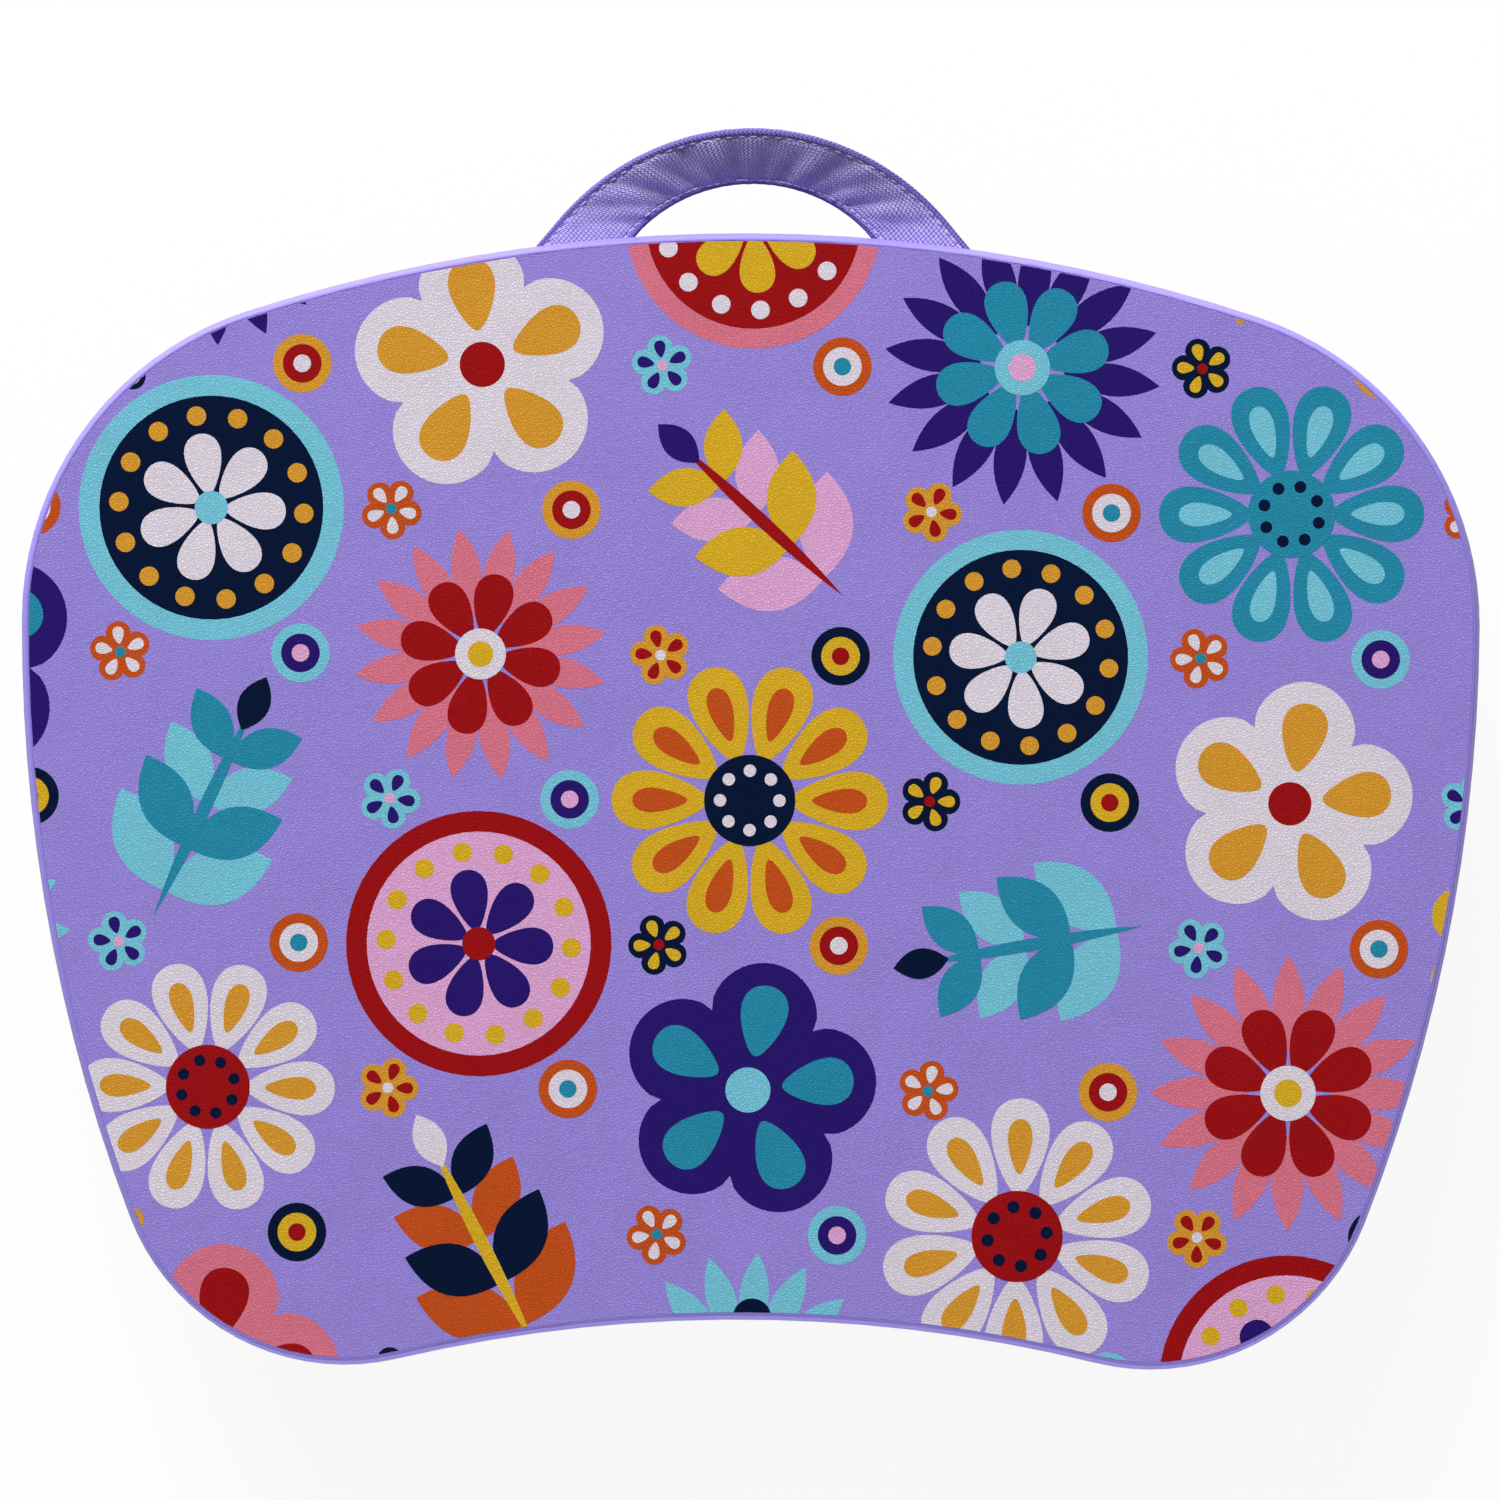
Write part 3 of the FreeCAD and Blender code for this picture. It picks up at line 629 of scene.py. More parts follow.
@dataclass(frozen=True)
class Stitching:
    """A row of stitches, each a thread whose ends dive into the cloth."""

    pitch: float
    length: float
    thickness: float
    segments: int = 8
    rings: int = 6
    dive_power: int = 4

    def stamp(self) -> Stamp:
        """Models one stitch, 1 long along X and 1 thick.

        Returns:
            The stitch, ready to copy.
        """
        bpy.ops.object.select_all(action="DESELECT")
        bpy.ops.mesh.primitive_uv_sphere_add(segments=self.segments, ring_count=self.rings, radius=1 / 2)
        pattern = bpy.context.object
        with editing(pattern):
            bpy.ops.transform.rotate(value=math.pi / 2, orient_axis="Y", center_override=(0, 0, 0))
        for vertex in pattern.data.vertices:
            vertex.co.x = math.sin(math.pi * vertex.co.x) / 2
            vertex.co.z -= (2 * vertex.co.x) ** self.dive_power / 2
        return Stamp(pattern)

    def sew(self, name: str, spots: Sequence[Matrix]) -> Piece:
        """Sews one stitch at each spot.

        Args:
            name: The stitches' name, as one piece.
            spots: The place and turn of each stitch.

        Returns:
            The stitches.
        """
        stamp = self.stamp()
        size = Matrix.Diagonal((self.length, self.thickness, self.thickness, 1))
        stitches = stamped(name, [(stamp, spot @ size) for spot in spots])
        coat(stitches, Finish.THREAD.material)
        log.info("%s: %d stitches", stitches.name, len(spots))
        return stitches


class Shape(Enum):
    """Outlines that the print is made of, each with its number of points."""

    PETAL = 40
    LEAF = 32
    DOT = 54
    ROSETTE = 100

    def outline(self, angle: float) -> tuple[float, float]:
        """A point on the outline, which runs from 0 to 1 along X and is about 1 wide.

        Args:
            angle: The point's angle about the outline's middle.

        Returns:
            The point's X and Y.
        """
        along = (1 + math.cos(angle)) / 2
        side = math.sin(angle)
        if self is Shape.PETAL:
            foot_share, swell_share = 0.55, 0.75
            return along, side * (foot_share + swell_share * along) / 2
        if self is Shape.LEAF:
            return along, side * abs(side) / 2
        if self is Shape.ROSETTE:
            lobes, valley_share, roundness = 5, 0.68, 0.7
            lobe = abs(math.cos(lobes * angle / 2)) ** roundness
            radius = (valley_share + (1 - valley_share) * lobe) / 2
            return 1 / 2 + radius * math.cos(angle), radius * math.sin(angle)
        return along, side / 2


class Ink(Enum):
    """Colours of the print."""

    GOLD = (206, 164, 36)
    AMBER = (204, 144, 46)
    RUST = (186, 76, 26)
    RED = (148, 14, 18)
    PINK = (211, 157, 200)
    SALMON = (206, 110, 130)
    SKY = (112, 186, 206)
    TEAL = (36, 131, 160)
    NAVY = (4, 20, 50)
    VIOLET = (38, 20, 104)
    CREAM = (212, 203, 214)

    @cached_property
    def material(self) -> Material:
        """This ink's material, made the first time that it is asked for."""
        return Film("ink_" + self.name.lower(), linear(*self.value)).make()


@dataclass(frozen=True)
class Mark:
    """One inked shape of a motif, which starts at a reach from the motif's middle and runs outwards.

    Its ink is a number among the motif's inks, and its shares are of the motif's radius.
    """

    shape: Shape
    turn: float
    reach_share: float
    length_share: float
    width_share: float
    ink: int
    lean: float = 0.0


def ring(shape: Shape, count: int, reach: float, length: float, width: float, ink: int) -> list[Mark]:
    """Equal marks set evenly round a motif's middle."""
    step = math.tau / count
    return [Mark(shape, number * step, reach, length, width, ink) for number in range(count)]


def disc(radius: float, ink: int, shape: Shape = Shape.DOT) -> list[Mark]:
    """A round or lobed spot on a motif's middle."""
    return [Mark(shape, 0, -radius, 2 * radius, 2 * radius, ink)]


def leaf_pairs(first: int, ink: int, pairs: int = 4) -> list[Mark]:
    """Every other pair of leaves along a stem, smaller towards its tip.

    Args:
        first: The pair to start from, counted from the stem's foot.
        ink: Which of the motif's inks they take.
        pairs: How many pairs the whole stem has.

    Returns:
        The leaves.
    """
    lean = 0.85
    foot_share, rise_share = -0.78, 1.46
    largest_share, loss_share, slim_share = 0.84, 0.34, 0.52
    marks = []
    for pair in range(first, pairs, 2):
        up_share = pair / pairs
        reach_share = foot_share + rise_share * up_share
        size_share = largest_share - loss_share * up_share
        for turn in (-lean, lean):
            marks.append(Mark(Shape.LEAF, 0, reach_share, size_share, size_share * slim_share, ink, turn))
    return marks


class Motif(Enum):
    """Motifs of the print, each a list of layers that are printed one over another."""

    DAISY = (
        ring(Shape.PETAL, 10, 0.3, 0.7, 0.43, 0),
        ring(Shape.PETAL, 10, 0.45, 0.4, 0.18, 1),
        disc(0.33, 2),
        ring(Shape.DOT, 8, 0.17, 0.09, 0.09, 3),
    )
    ASTER = (
        ring(Shape.LEAF, 16, 0.3, 0.7, 0.235, 0),
        ring(Shape.PETAL, 8, 0.14, 0.5, 0.31, 1),
        disc(0.2, 2),
        disc(0.1, 3),
    )
    SPRIG = (
        leaf_pairs(0, 1),
        leaf_pairs(1, 2),
        [Mark(Shape.LEAF, 0, -0.98, 1.75, 0.1, 0)],
        [Mark(Shape.LEAF, 0, 0.56, 0.44, 0.24, 3)],
    )
    MEDALLION = (
        disc(0.96, 0),
        disc(0.81, 1),
        ring(Shape.DOT, 14, 0.6, 0.14, 0.14, 2),
        ring(Shape.PETAL, 7, 0.1, 0.44, 0.27, 3),
        disc(0.12, 0),
    )
    CLOVER = (
        disc(0.97, 0, Shape.ROSETTE),
        ring(Shape.PETAL, 5, 0.26, 0.54, 0.36, 1),
        disc(0.17, 2),
    )
    BUTTON = (disc(1, 0), disc(0.66, 1), disc(0.3, 2))


BIG_MOTIFS = (Motif.DAISY, Motif.SPRIG, Motif.MEDALLION, Motif.ASTER, Motif.CLOVER)
BIG_INKS = (
    (Ink.GOLD, Ink.RUST, Ink.NAVY, Ink.CREAM),
    (Ink.TEAL, Ink.SKY, Ink.TEAL, Ink.NAVY),
    (Ink.RED, Ink.PINK, Ink.GOLD, Ink.VIOLET),
    (Ink.SKY, Ink.NAVY, Ink.AMBER, Ink.CREAM),
    (Ink.SALMON, Ink.RED, Ink.CREAM, Ink.GOLD),
    (Ink.VIOLET, Ink.TEAL, Ink.SKY, Ink.PINK),
    (Ink.CREAM, Ink.AMBER, Ink.RED, Ink.NAVY),
)
SMALL_INKS = (
    (Ink.NAVY, Ink.GOLD, Ink.RED),
    (Ink.RUST, Ink.CREAM, Ink.TEAL),
    (Ink.SKY, Ink.VIOLET, Ink.PINK),
    (Ink.AMBER, Ink.RED, Ink.CREAM),
)


@dataclass
class PrintedTop:
    """The tray's moulded top and the printed film on it."""

    pitch_x: float = 0.083
    pitch_y: float = 0.089
    big_radius: float = 0.0425
    small_radius: float = 0.009
    small_clover_share: float = 1.08
    swell_step_share: float = 0.04
    swell_sizes: int = 3
    motif_steps: tuple[int, int] = (2, 1)
    ink_steps: tuple[int, int] = (3, 2)
    swell_steps: tuple[int, int] = (1, 2)
    turn_steps: tuple[int, int] = (5, 1)
    golden_turn: float = math.pi * (3 - math.sqrt(5))
    button_place_shares: tuple[float, float] = (1 / 3, 1 / 2)
    clover_place_share: float = 2 / 3
    ink_thickness: float = 0.00003
    layer_step: float = 0.00002
    edge_gap: float = 0.0002
    trim_stretch: float = 10.0

    def stamp(self, shape: Shape) -> Stamp:
        """Models one outline as a plate 1 long, 1 wide and 1 thick, whose length starts at the origin.

        Args:
            shape: The outline.

        Returns:
            The plate, ready to copy.
        """
        bpy.ops.object.select_all(action="DESELECT")
        bpy.ops.mesh.primitive_circle_add(vertices=shape.value, radius=1, fill_type="NGON")
        pattern = bpy.context.object
        for vertex in pattern.data.vertices:
            vertex.co = (*shape.outline(math.atan2(vertex.co.y, vertex.co.x)), 0)
        with editing(pattern):
            bpy.ops.mesh.extrude_region_move(TRANSFORM_OT_translate={"value": UP})
            bpy.ops.mesh.select_all(action="SELECT")
            bpy.ops.mesh.normals_make_consistent(inside=False)
        return Stamp(pattern)

    def motif_places(self) -> Iterator[tuple[Motif, tuple[Ink, ...], Vector, float, float]]:
        """Lays the motifs out in columns, every other one dropped by half a step.

        Returns:
            Each motif with its inks, middle, radius and turn.
        """
        low, high = (Vector(corner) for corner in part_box("print_film"))
        columns = math.ceil((high.x - low.x) / self.pitch_x / 2) + 1
        rows = math.ceil((high.y - low.y) / self.pitch_y / 2) + 1
        button_offset = Vector((self.pitch_x, self.pitch_y)) * Vector(self.button_place_shares)
        clover_offset = Vector((self.pitch_x * self.clover_place_share, 0, 0))
        clover_radius = self.small_radius * self.small_clover_share
        for column in range(-columns, columns + 1):
            for row in range(-rows, rows + 1):
                motif_step, ink_step, swell_step, turn_step = (
                    across * column + up * row
                    for across, up in (self.motif_steps, self.ink_steps, self.swell_steps, self.turn_steps)
                )
                drop = self.pitch_y / 2 * (column % 2)
                spot = (low + high) / 2 + Vector((column * self.pitch_x, row * self.pitch_y + drop, 0))
                motif = BIG_MOTIFS[motif_step % len(BIG_MOTIFS)]
                inks = BIG_INKS[ink_step % len(BIG_INKS)]
                swell = 1 - self.swell_step_share * (swell_step % self.swell_sizes)
                turn = self.golden_turn * turn_step
                yield motif, inks, spot, self.big_radius * swell, turn
                inks = SMALL_INKS[(column + row) % len(SMALL_INKS)]
                yield Motif.BUTTON, inks, spot + button_offset.to_3d(), self.small_radius, turn
                inks = SMALL_INKS[(column - row) % len(SMALL_INKS)]
                yield Motif.CLOVER, inks, spot + clover_offset, clover_radius, turn

    def mark_matrix(self, mark: Mark, spot: Vector, radius: float, turn: float, layer: int) -> Matrix:
        """The size, turn and place of one mark of a motif.

        Args:
            mark: The mark.
            spot: The motif's middle.
            radius: The motif's radius.
            turn: The motif's turn.
            layer: The mark's layer, from the lowest.

        Returns:
            The matrix for the mark's plate.
        """
        length, width = mark.length_share * radius, mark.width_share * radius
        thickness = self.ink_thickness + self.layer_step * layer
        return (
            Matrix.Translation(spot)
            @ Matrix.Rotation(turn + mark.turn, 4, "Z")
            @ Matrix.Translation((mark.reach_share * radius, 0, 0))
            @ Matrix.Rotation(mark.lean, 4, "Z")
            @ Matrix.Diagonal((length, width, thickness, 1))
        )

    def trim_tool(self) -> Piece:
        """Makes a thick plate of the film's outline, drawn in a little, that trims the print.

        Returns:
            The plate.
        """
        low, high = (Vector(corner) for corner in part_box("print_film"))
        middle, half = (low + high) / 2, (high - low) / 2
        tool = copied("print_film", "print_trim")
        for vertex in tool.data.vertices:
            offset = vertex.co - middle
            offset.x *= 1 - self.edge_gap / half.x
            offset.y *= 1 - self.edge_gap / half.y
            offset.z *= self.trim_stretch
            vertex.co = middle + offset
        return tool

    def build(self) -> None:
        """Prints the motifs on the film, one piece for each ink, and dresses the tray and the film."""
        dress("tray_shell", Finish.TRAY)
        dress("print_film", Finish.GROUND)
        stamps = {shape: self.stamp(shape) for shape in Shape}
        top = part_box("print_film")[1][2]
        copies: dict[Ink, list[Copy]] = {ink: [] for ink in Ink}
        for motif, inks, spot, radius, turn in self.motif_places():
            spot.z = top
            for layer, marks in enumerate(motif.value):
                for mark in marks:
                    matrix = self.mark_matrix(mark, spot, radius, turn, layer)
                    copies[inks[mark.ink]].append((stamps[mark.shape], matrix))
        tool = self.trim_tool()
        outline = BVHTree.FromObject(tool, bpy.context.evaluated_depsgraph_get())
        for ink, places in copies.items():
            name = "print_" + ink.name.lower()
            on_film = [self.points_on_film(outline, stamp, matrix) for stamp, matrix in places]
            whole = [place for place, points in zip(places, on_film) if all(points)]
            crossing = [place for place, points in zip(places, on_film) if any(points) and not all(points)]
            piece = stamped(name, whole)
            self.add_trimmed(piece, crossing, tool)
            coat(piece, ink.material)
            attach(piece, TRAY)
            log.info("%s: %d shapes, %d of them trimmed", name, len(whole) + len(crossing), len(crossing))
        bpy.data.objects.remove(tool)

    def points_on_film(self, outline: BVHTree, stamp: Stamp, matrix: Matrix) -> list[bool]:
        """Tells for each point of a placed shape whether it is within the film's outline."""
        return [outline.ray_cast(matrix @ point + UP, -UP)[0] is not None for point in stamp.points]

    def add_trimmed(self, piece: Piece, crossing: Sequence[Copy], tool: Piece) -> None:
        """Trims the shapes that run off the film's edge and joins them to an ink's piece.

        Args:
            piece: The ink's piece.
            crossing: The shapes, each with its matrix.
            tool: The plate that they are trimmed to.
        """
        if not crossing:
            return
        cut = stamped("trimmed", crossing)
        trim = cut.modifiers.new("trim", "BOOLEAN")
        trim.operation = "INTERSECT"
        trim.solver = "EXACT"
        trim.use_self = True
        trim.object = tool
        apply_modifiers(cut)
        piece.select_set(True)
        bpy.context.view_layer.objects.active = piece
        bpy.ops.object.join()


@dataclass
class UnderFrame:
    """The frame that holds the cushion, its screws and clamps, and the cloth that it clamps."""

    cloth_fullness: float = 0.88

    def build(self) -> None:
        """Dresses the hard pieces and makes the backing cloth."""
        for node in ("retainer_frame", "left_tail_clamp", "right_tail_clamp"):
            dress(node, Finish.FRAME)
        for node in ("frame_screws", "handle_screws"):
            dress(node, Finish.STEEL)
        cloth = copied("backing_cloth", "backing_sheet")
        lay_cloth_map(cloth)
        coat(cloth, Finish.BACKING.material)
        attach(cloth, TRAY)
        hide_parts("backing_cloth")


@dataclass
class StrapHandle:
    """The sewn strap handle, one length of folded cloth from tail to tail."""

    fold_y: float
    fold_z: float
    inner_half: float = 0.0345
    inner_rise: float = 0.0144
    inner_lift: float = 0.0008
    outer_half: float = 0.0625
    outer_rise: float = 0.03054
    outer_lift: float = 0.0124
    tail_drop: float = 0.0237
    tail_shift: float = 0.0201
    fold_half_thickness: float = 0.0011
    middle_half_thickness: float = 0.002
    edge_half_thickness: float = 0.0007
    thinnest_half: float = 0.0003
    thickest_spare: float = 0.0003
    crown_power: int = 4
    section_power: float = 0.6
    hem_share: float = 0.79
    stitching: Stitching = Stitching(pitch=0.0031, length=0.0023, thickness=0.0006)
    stitch_lift: float = 0.0002
    stitch_probe: float = 0.01
    bend_before: float = 0.0025
    bend_after: float = 0.0035
    gather_share: float = 0.2
    splay_run: float = 0.02
    calm_power: int = 8
    gathers: tuple[Wave, ...] = (Wave(0.0044, 0.000075, 2.1), Wave(0.0073, 0.00005, -3.0, 1.0))
    folds: tuple[Wave, ...] = (
        Wave(0.0153, 0.00045, 1.4, 0.7),
        Wave(0.0096, 0.0003, -2.4, 2.3),
        Wave(0.0266, 0.0004, 2.8, 4.1),
    )
    groove_depth: float = 0.0004
    groove_share: float = 0.045
    bead_height: float = 0.00015
    bead_place_share: float = 0.9
    bead_share: float = 0.06
    rounded_share: float = 0.05
    edge_flatness: float = 0.75
    cells_along: int = 320
    cells_across: int = 48

    def __post_init__(self) -> None:
        """Works out the lengths of the loop and of a tail along the strap's middle."""
        half = (self.inner_half + self.outer_half) / 2
        rise = (self.inner_rise + self.outer_rise) / 2
        radius = (half**2 + rise**2) / (2 * rise)
        self.loop_half_length = radius * 2 * math.atan2(rise, half)
        self.tail_length = math.hypot(self.tail_drop, self.tail_shift)
        self.half_length = self.loop_half_length + self.tail_length

    def edge(self, half: float, rise: float, lift: float, run: float) -> Vector:
        """A point on an edge of the strap.

        Args:
            half: Half the edge's span between the folds.
            rise: How far its arc stands out behind the folds.
            lift: How far its middle is raised.
            run: Distance along the strap from the middle, negative to the left.

        Returns:
            The point.
        """
        share = max(-1.0, min(1.0, run / self.loop_half_length))
        tail = max(0.0, abs(run) - self.loop_half_length) / self.tail_length
        radius = (half**2 + rise**2) / (2 * rise)
        turn = 2 * math.atan2(rise, half) * share
        x = radius * math.sin(turn) + math.copysign(self.tail_shift * tail, run)
        y = self.fold_y + rise - radius + radius * math.cos(turn) - self.tail_drop * tail
        return Vector((x, y, self.fold_z + lift * (1 - share**2) ** 2))

    def section(self, run: float) -> tuple[Vector, Vector, Vector]:
        """The strap's section at a place.

        Args:
            run: Distance along the strap from the middle.

        Returns:
            The section's middle, its half width as a vector to the outer edge, and its upward normal.
        """
        inner = self.edge(self.inner_half, self.inner_rise, self.inner_lift, run)
        outer = self.edge(self.outer_half, self.outer_rise, self.outer_lift, run)
        across = (outer - inner) / 2
        side = across.normalized()
        return (inner + outer) / 2, across, (UP - side * side.z).normalized()

    def pucker(self, run: float, across: float) -> float:
        """How far the cloth stands out of its smooth form, from soft folds and gathers along its seams.

        Args:
            run: Distance along the strap from the middle.
            across: Place across it, from -1 to 1.

        Returns:
            The height.
        """
        seam = math.exp(-(((abs(across) - self.hem_share) / self.gather_share) ** 2))
        between = math.sqrt(max(0.0, 1 - (across / self.hem_share) ** 2))
        splay = across * math.tanh(run / self.splay_run)
        gather = sum(wave.at(run, across) for wave in self.gathers)
        fold = sum(wave.at(run, splay) for wave in self.folds)
        loop = max(0.0, 1 - (abs(run) / self.loop_half_length) ** self.calm_power)
        return loop * (seam * gather + between * fold)

    def half_thickness(self, run: float, across: float) -> float:
        """Half the strap's thickness: thin sewn hems, a stitched groove, and a soft middle.

        Args:
            run: Distance along the strap from the middle.
            across: Place across it, from -1 to 1.

        Returns:
            Half the thickness.
        """
        share = min(1.0, abs(run) / self.loop_half_length)
        swell = (self.middle_half_thickness - self.fold_half_thickness) * (1 - share**self.crown_power)
        crown = self.fold_half_thickness + swell - self.edge_half_thickness
        off = abs(across)
        half = self.edge_half_thickness + crown * (1 - off**2) ** self.section_power
        half -= self.groove_depth * math.exp(-(((off - self.hem_share) / self.groove_share) ** 2))
        half += self.bead_height * math.exp(-(((off - self.bead_place_share) / self.bead_share) ** 2))
        rounding = max(0.0, 1 - (1 - off) / self.rounded_share)
        return max(self.thinnest_half, half) * math.sqrt(1 - self.edge_flatness * rounding**2)

    def build_strap(self) -> Piece:
        """Models the strap from a grid that is laid along it and thickened.

        Returns:
            The strap.
        """
        bpy.ops.object.select_all(action="DESELECT")
        bpy.ops.mesh.primitive_grid_add(
            x_subdivisions=self.cells_along, y_subdivisions=self.cells_across, size=2
        )
        strap = bpy.context.object
        strap.name = strap.data.name = "handle_strap"
        mesh = strap.data
        thickness = strap.vertex_groups.new(name="thickness")
        fullest = self.middle_half_thickness + self.thickest_spare
        laid = [(vertex.co.x * self.half_length, vertex.co.y) for vertex in mesh.vertices]
        for vertex, (run, across) in zip(mesh.vertices, laid):
            middle, side, normal = self.section(run)
            vertex.co = middle + side * across + normal * self.pucker(run, across)
            thickness.add([vertex.index], self.half_thickness(run, across) / fullest, "REPLACE")
        layer = mesh.uv_layers[0]
        layer.name = CLOTH_MAP
        half_width = self.section(0)[1].length
        for loop in mesh.loops:
            run, across = laid[loop.vertex_index]
            layer.data[loop.index].uv = (run, across * half_width)
        wall = strap.modifiers.new("wall", "SOLIDIFY")
        wall.thickness = 2 * fullest
        wall.offset = 0
        wall.vertex_group = thickness.name
        apply_modifiers(strap)
        strap.vertex_groups.clear()
        coat(strap, Finish.STRAP.material, SOFT_ANGLE)
        return strap

    def build_stitches(self, strap: Piece) -> Piece:
        """Sews two rows of stitches along the strap, on its upper and lower sides.

        Args:
            strap: The strap.

        Returns:
            The stitches.
        """
        tree = BVHTree.FromObject(strap, bpy.context.evaluated_depsgraph_get())
        pitch = self.stitching.pitch
        count = int(2 * (self.half_length - pitch) / pitch)
        spots = []
        for number in range(count):
            run = (number - (count - 1) / 2) * pitch
            middle, side, normal = self.section(run)
            ahead = self.section(run + self.stitching.length / 2)
            for across in (-self.hem_share, self.hem_share):
                seam = middle + side * across
                along = (ahead[0] + ahead[1] * across - seam).normalized()
                for outward in (normal, -normal):
                    hit = tree.ray_cast(seam + outward * self.stitch_probe, -outward)[0]
                    turn = Matrix((along, outward.cross(along), outward)).transposed().to_4x4()
                    spots.append(Matrix.Translation(hit + outward * self.stitch_lift) @ turn)
        return self.stitching.sew("handle_stitches", spots)

    def build(self) -> None:
        """Makes the strap and its stitches."""
        strap = self.build_strap()
        stitches = self.build_stitches(strap)
        for piece in (strap, stitches):
            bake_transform(piece)
        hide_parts("handle_sleeve", "handle_core", "left_handle_tail", "right_handle_tail")


class Side(Enum):
    """Left and right, as the user sees the tray."""

    LEFT = "left"
    RIGHT = "right"


COVER_CLOTH = {
    "quality": 6,
    "mass": 0.25,
    "tension_stiffness": 12,
    "compression_stiffness": 12,
    "shear_stiffness": 6,
    "bending_stiffness": 0.4,
    "shrink_min": -0.03,
    "use_pressure": True,
    "uniform_pressure_force": 4.0,
}


@dataclass
class Bolster:
    """One of the two stuffed bolsters, with the piping in its seam."""

    side: Side
    voxel: float = 0.005
    ease: float = 0.0008
    travel: float = 0.0045
    frames: int = 20
    neck_level: float = 0.0485
    seam_level: float = 0.02
    seam_half: float = 0.003
    piping_radius: float = 0.0018
    piping_sink: float = 0.0003
    piping_step: float = 0.0025
    piping_sides: int = 14
    piping_gathers: tuple[Wave, ...] = (Wave(0.0083, 0.04), Wave(0.0189, 0.03))
    seam_gathers: tuple[Wave, ...] = (
        Wave(0.0127, 0.0005, 0.5),
        Wave(0.0191, 0.0006, -0.4, 1.1),
        Wave(0.0323, 0.0006, 0.6, 2.6),
    )
    gather_reach: float = 0.0065

    def swell(self, cover: Piece) -> None:
        """Blows the cover up as cloth held at its neck and seam, and caps how far a point moves.

        Args:
            cover: The cover, with a mesh of even cells.
        """
        mesh = cover.data
        start = [vertex.co.copy() for vertex in mesh.vertices]
        held = [
            number
            for number, place in enumerate(start)
            if place.z > self.neck_level or abs(place.z - self.seam_level) < self.seam_half
        ]
        pins = cover.vertex_groups.new(name="pins")
        pins.add(held, 1.0, "REPLACE")
        modifier = cover.modifiers.new("swell", "CLOTH")
        for name, value in COVER_CLOTH.items():
            setattr(modifier.settings, name, value)
        modifier.settings.vertex_group_mass = pins.name
        modifier.settings.effector_weights.gravity = 0
        modifier.collision_settings.use_collision = False
        scene = bpy.context.scene
        for number in range(1, self.frames + 1):
            scene.frame_set(number)
        blown = cover.evaluated_get(bpy.context.evaluated_depsgraph_get()).data
        moved = [vertex.co.copy() for vertex in blown.vertices]
        cover.modifiers.remove(modifier)
        cover.vertex_groups.clear()
        scene.frame_set(1)
        for vertex, before, after in zip(mesh.vertices, start, moved):
            step = after - before
            if step.length > 0:
                step *= self.travel * math.tanh(step.length / self.travel) / step.length
            vertex.co = before + step
            vertex.co.z = max(vertex.co.z, 0.0)

    def gather_seam(self, cover: Piece, path: Sequence[Vector]) -> None:
        """Gathers the cover into short wrinkles that run off the seam on both sides.

        Args:
            cover: The cover.
            path: Evenly spaced points along the seam.
        """
        count = len(path)
        seam = KDTree(count)
        for number, place in enumerate(path):
            seam.insert(place, number)
        seam.balance()
        gathers = [wave.fitted(count * self.piping_step) for wave in self.seam_gathers]
        spots = [(vertex, vertex.co.copy(), vertex.normal.copy()) for vertex in cover.data.vertices]
        for vertex, spot, normal in spots:
            nearest, number, gap = seam.find(spot)
            along = (path[(number + 1) % count] - path[number - 1]).normalized()
            run = number * self.piping_step + (spot - nearest).dot(along)
            reach = gap / self.gather_reach
            height = reach * math.exp(1 - reach) * sum(wave.at(run, reach) for wave in gathers)
            vertex.co = spot + normal * height
            vertex.co.z = max(vertex.co.z, 0.0)

    def build_cover(self, path: Sequence[Vector]) -> Piece:
        """Makes the bolster's cover from the shape of its fill.

        Args:
            path: Evenly spaced points along the seam.

        Returns:
            The cover.
        """
        cover = copied(self.side.value + "_bolster_fill", self.side.value + "_bolster_cover")
        cover.data.remesh_voxel_size = self.voxel
        pick(cover)
        bpy.ops.object.voxel_remesh()
        for vertex, normal in [(vertex, vertex.normal.copy()) for vertex in cover.data.vertices]:
            vertex.co += normal * self.ease
        self.swell(cover)
        fine = cover.modifiers.new("fine", "SUBSURF")
        fine.levels = fine.render_levels = 1
        apply_modifiers(cover)
        self.gather_seam(cover, path)
        lay_cloth_map(cover)
        coat(cover, Finish.CUSHION.material, ROUND_ANGLE)
        return cover

    def seam_path(self) -> list[Vector]:
        """Follows the seam round the bolster.

        Returns:
            Evenly spaced points along the seam, anticlockwise from above.
        """
        slice_piece = copied(self.side.value + "_bolster_fill", "seam_cut")
        level = (0, 0, self.seam_level)
        with editing(slice_piece):
            bpy.ops.mesh.bisect(plane_co=level, plane_no=UP, clear_inner=True, clear_outer=True)
        cut = [vertex.co.copy() for vertex in slice_piece.data.vertices]
        bpy.data.objects.remove(slice_piece)
        middle = sum(cut, Vector()) / len(cut)
        cut.sort(key=lambda place: math.atan2(place.y - middle.y, place.x - middle.x))
        path: list[Vector] = []
        carry = 0.0
        for start, end in zip(cut, cut[1:] + cut[:1]):
            length = (end - start).length
            while carry < length:
                path.append(start.lerp(end, carry / length))
                carry += self.piping_step
            carry -= length
        return path

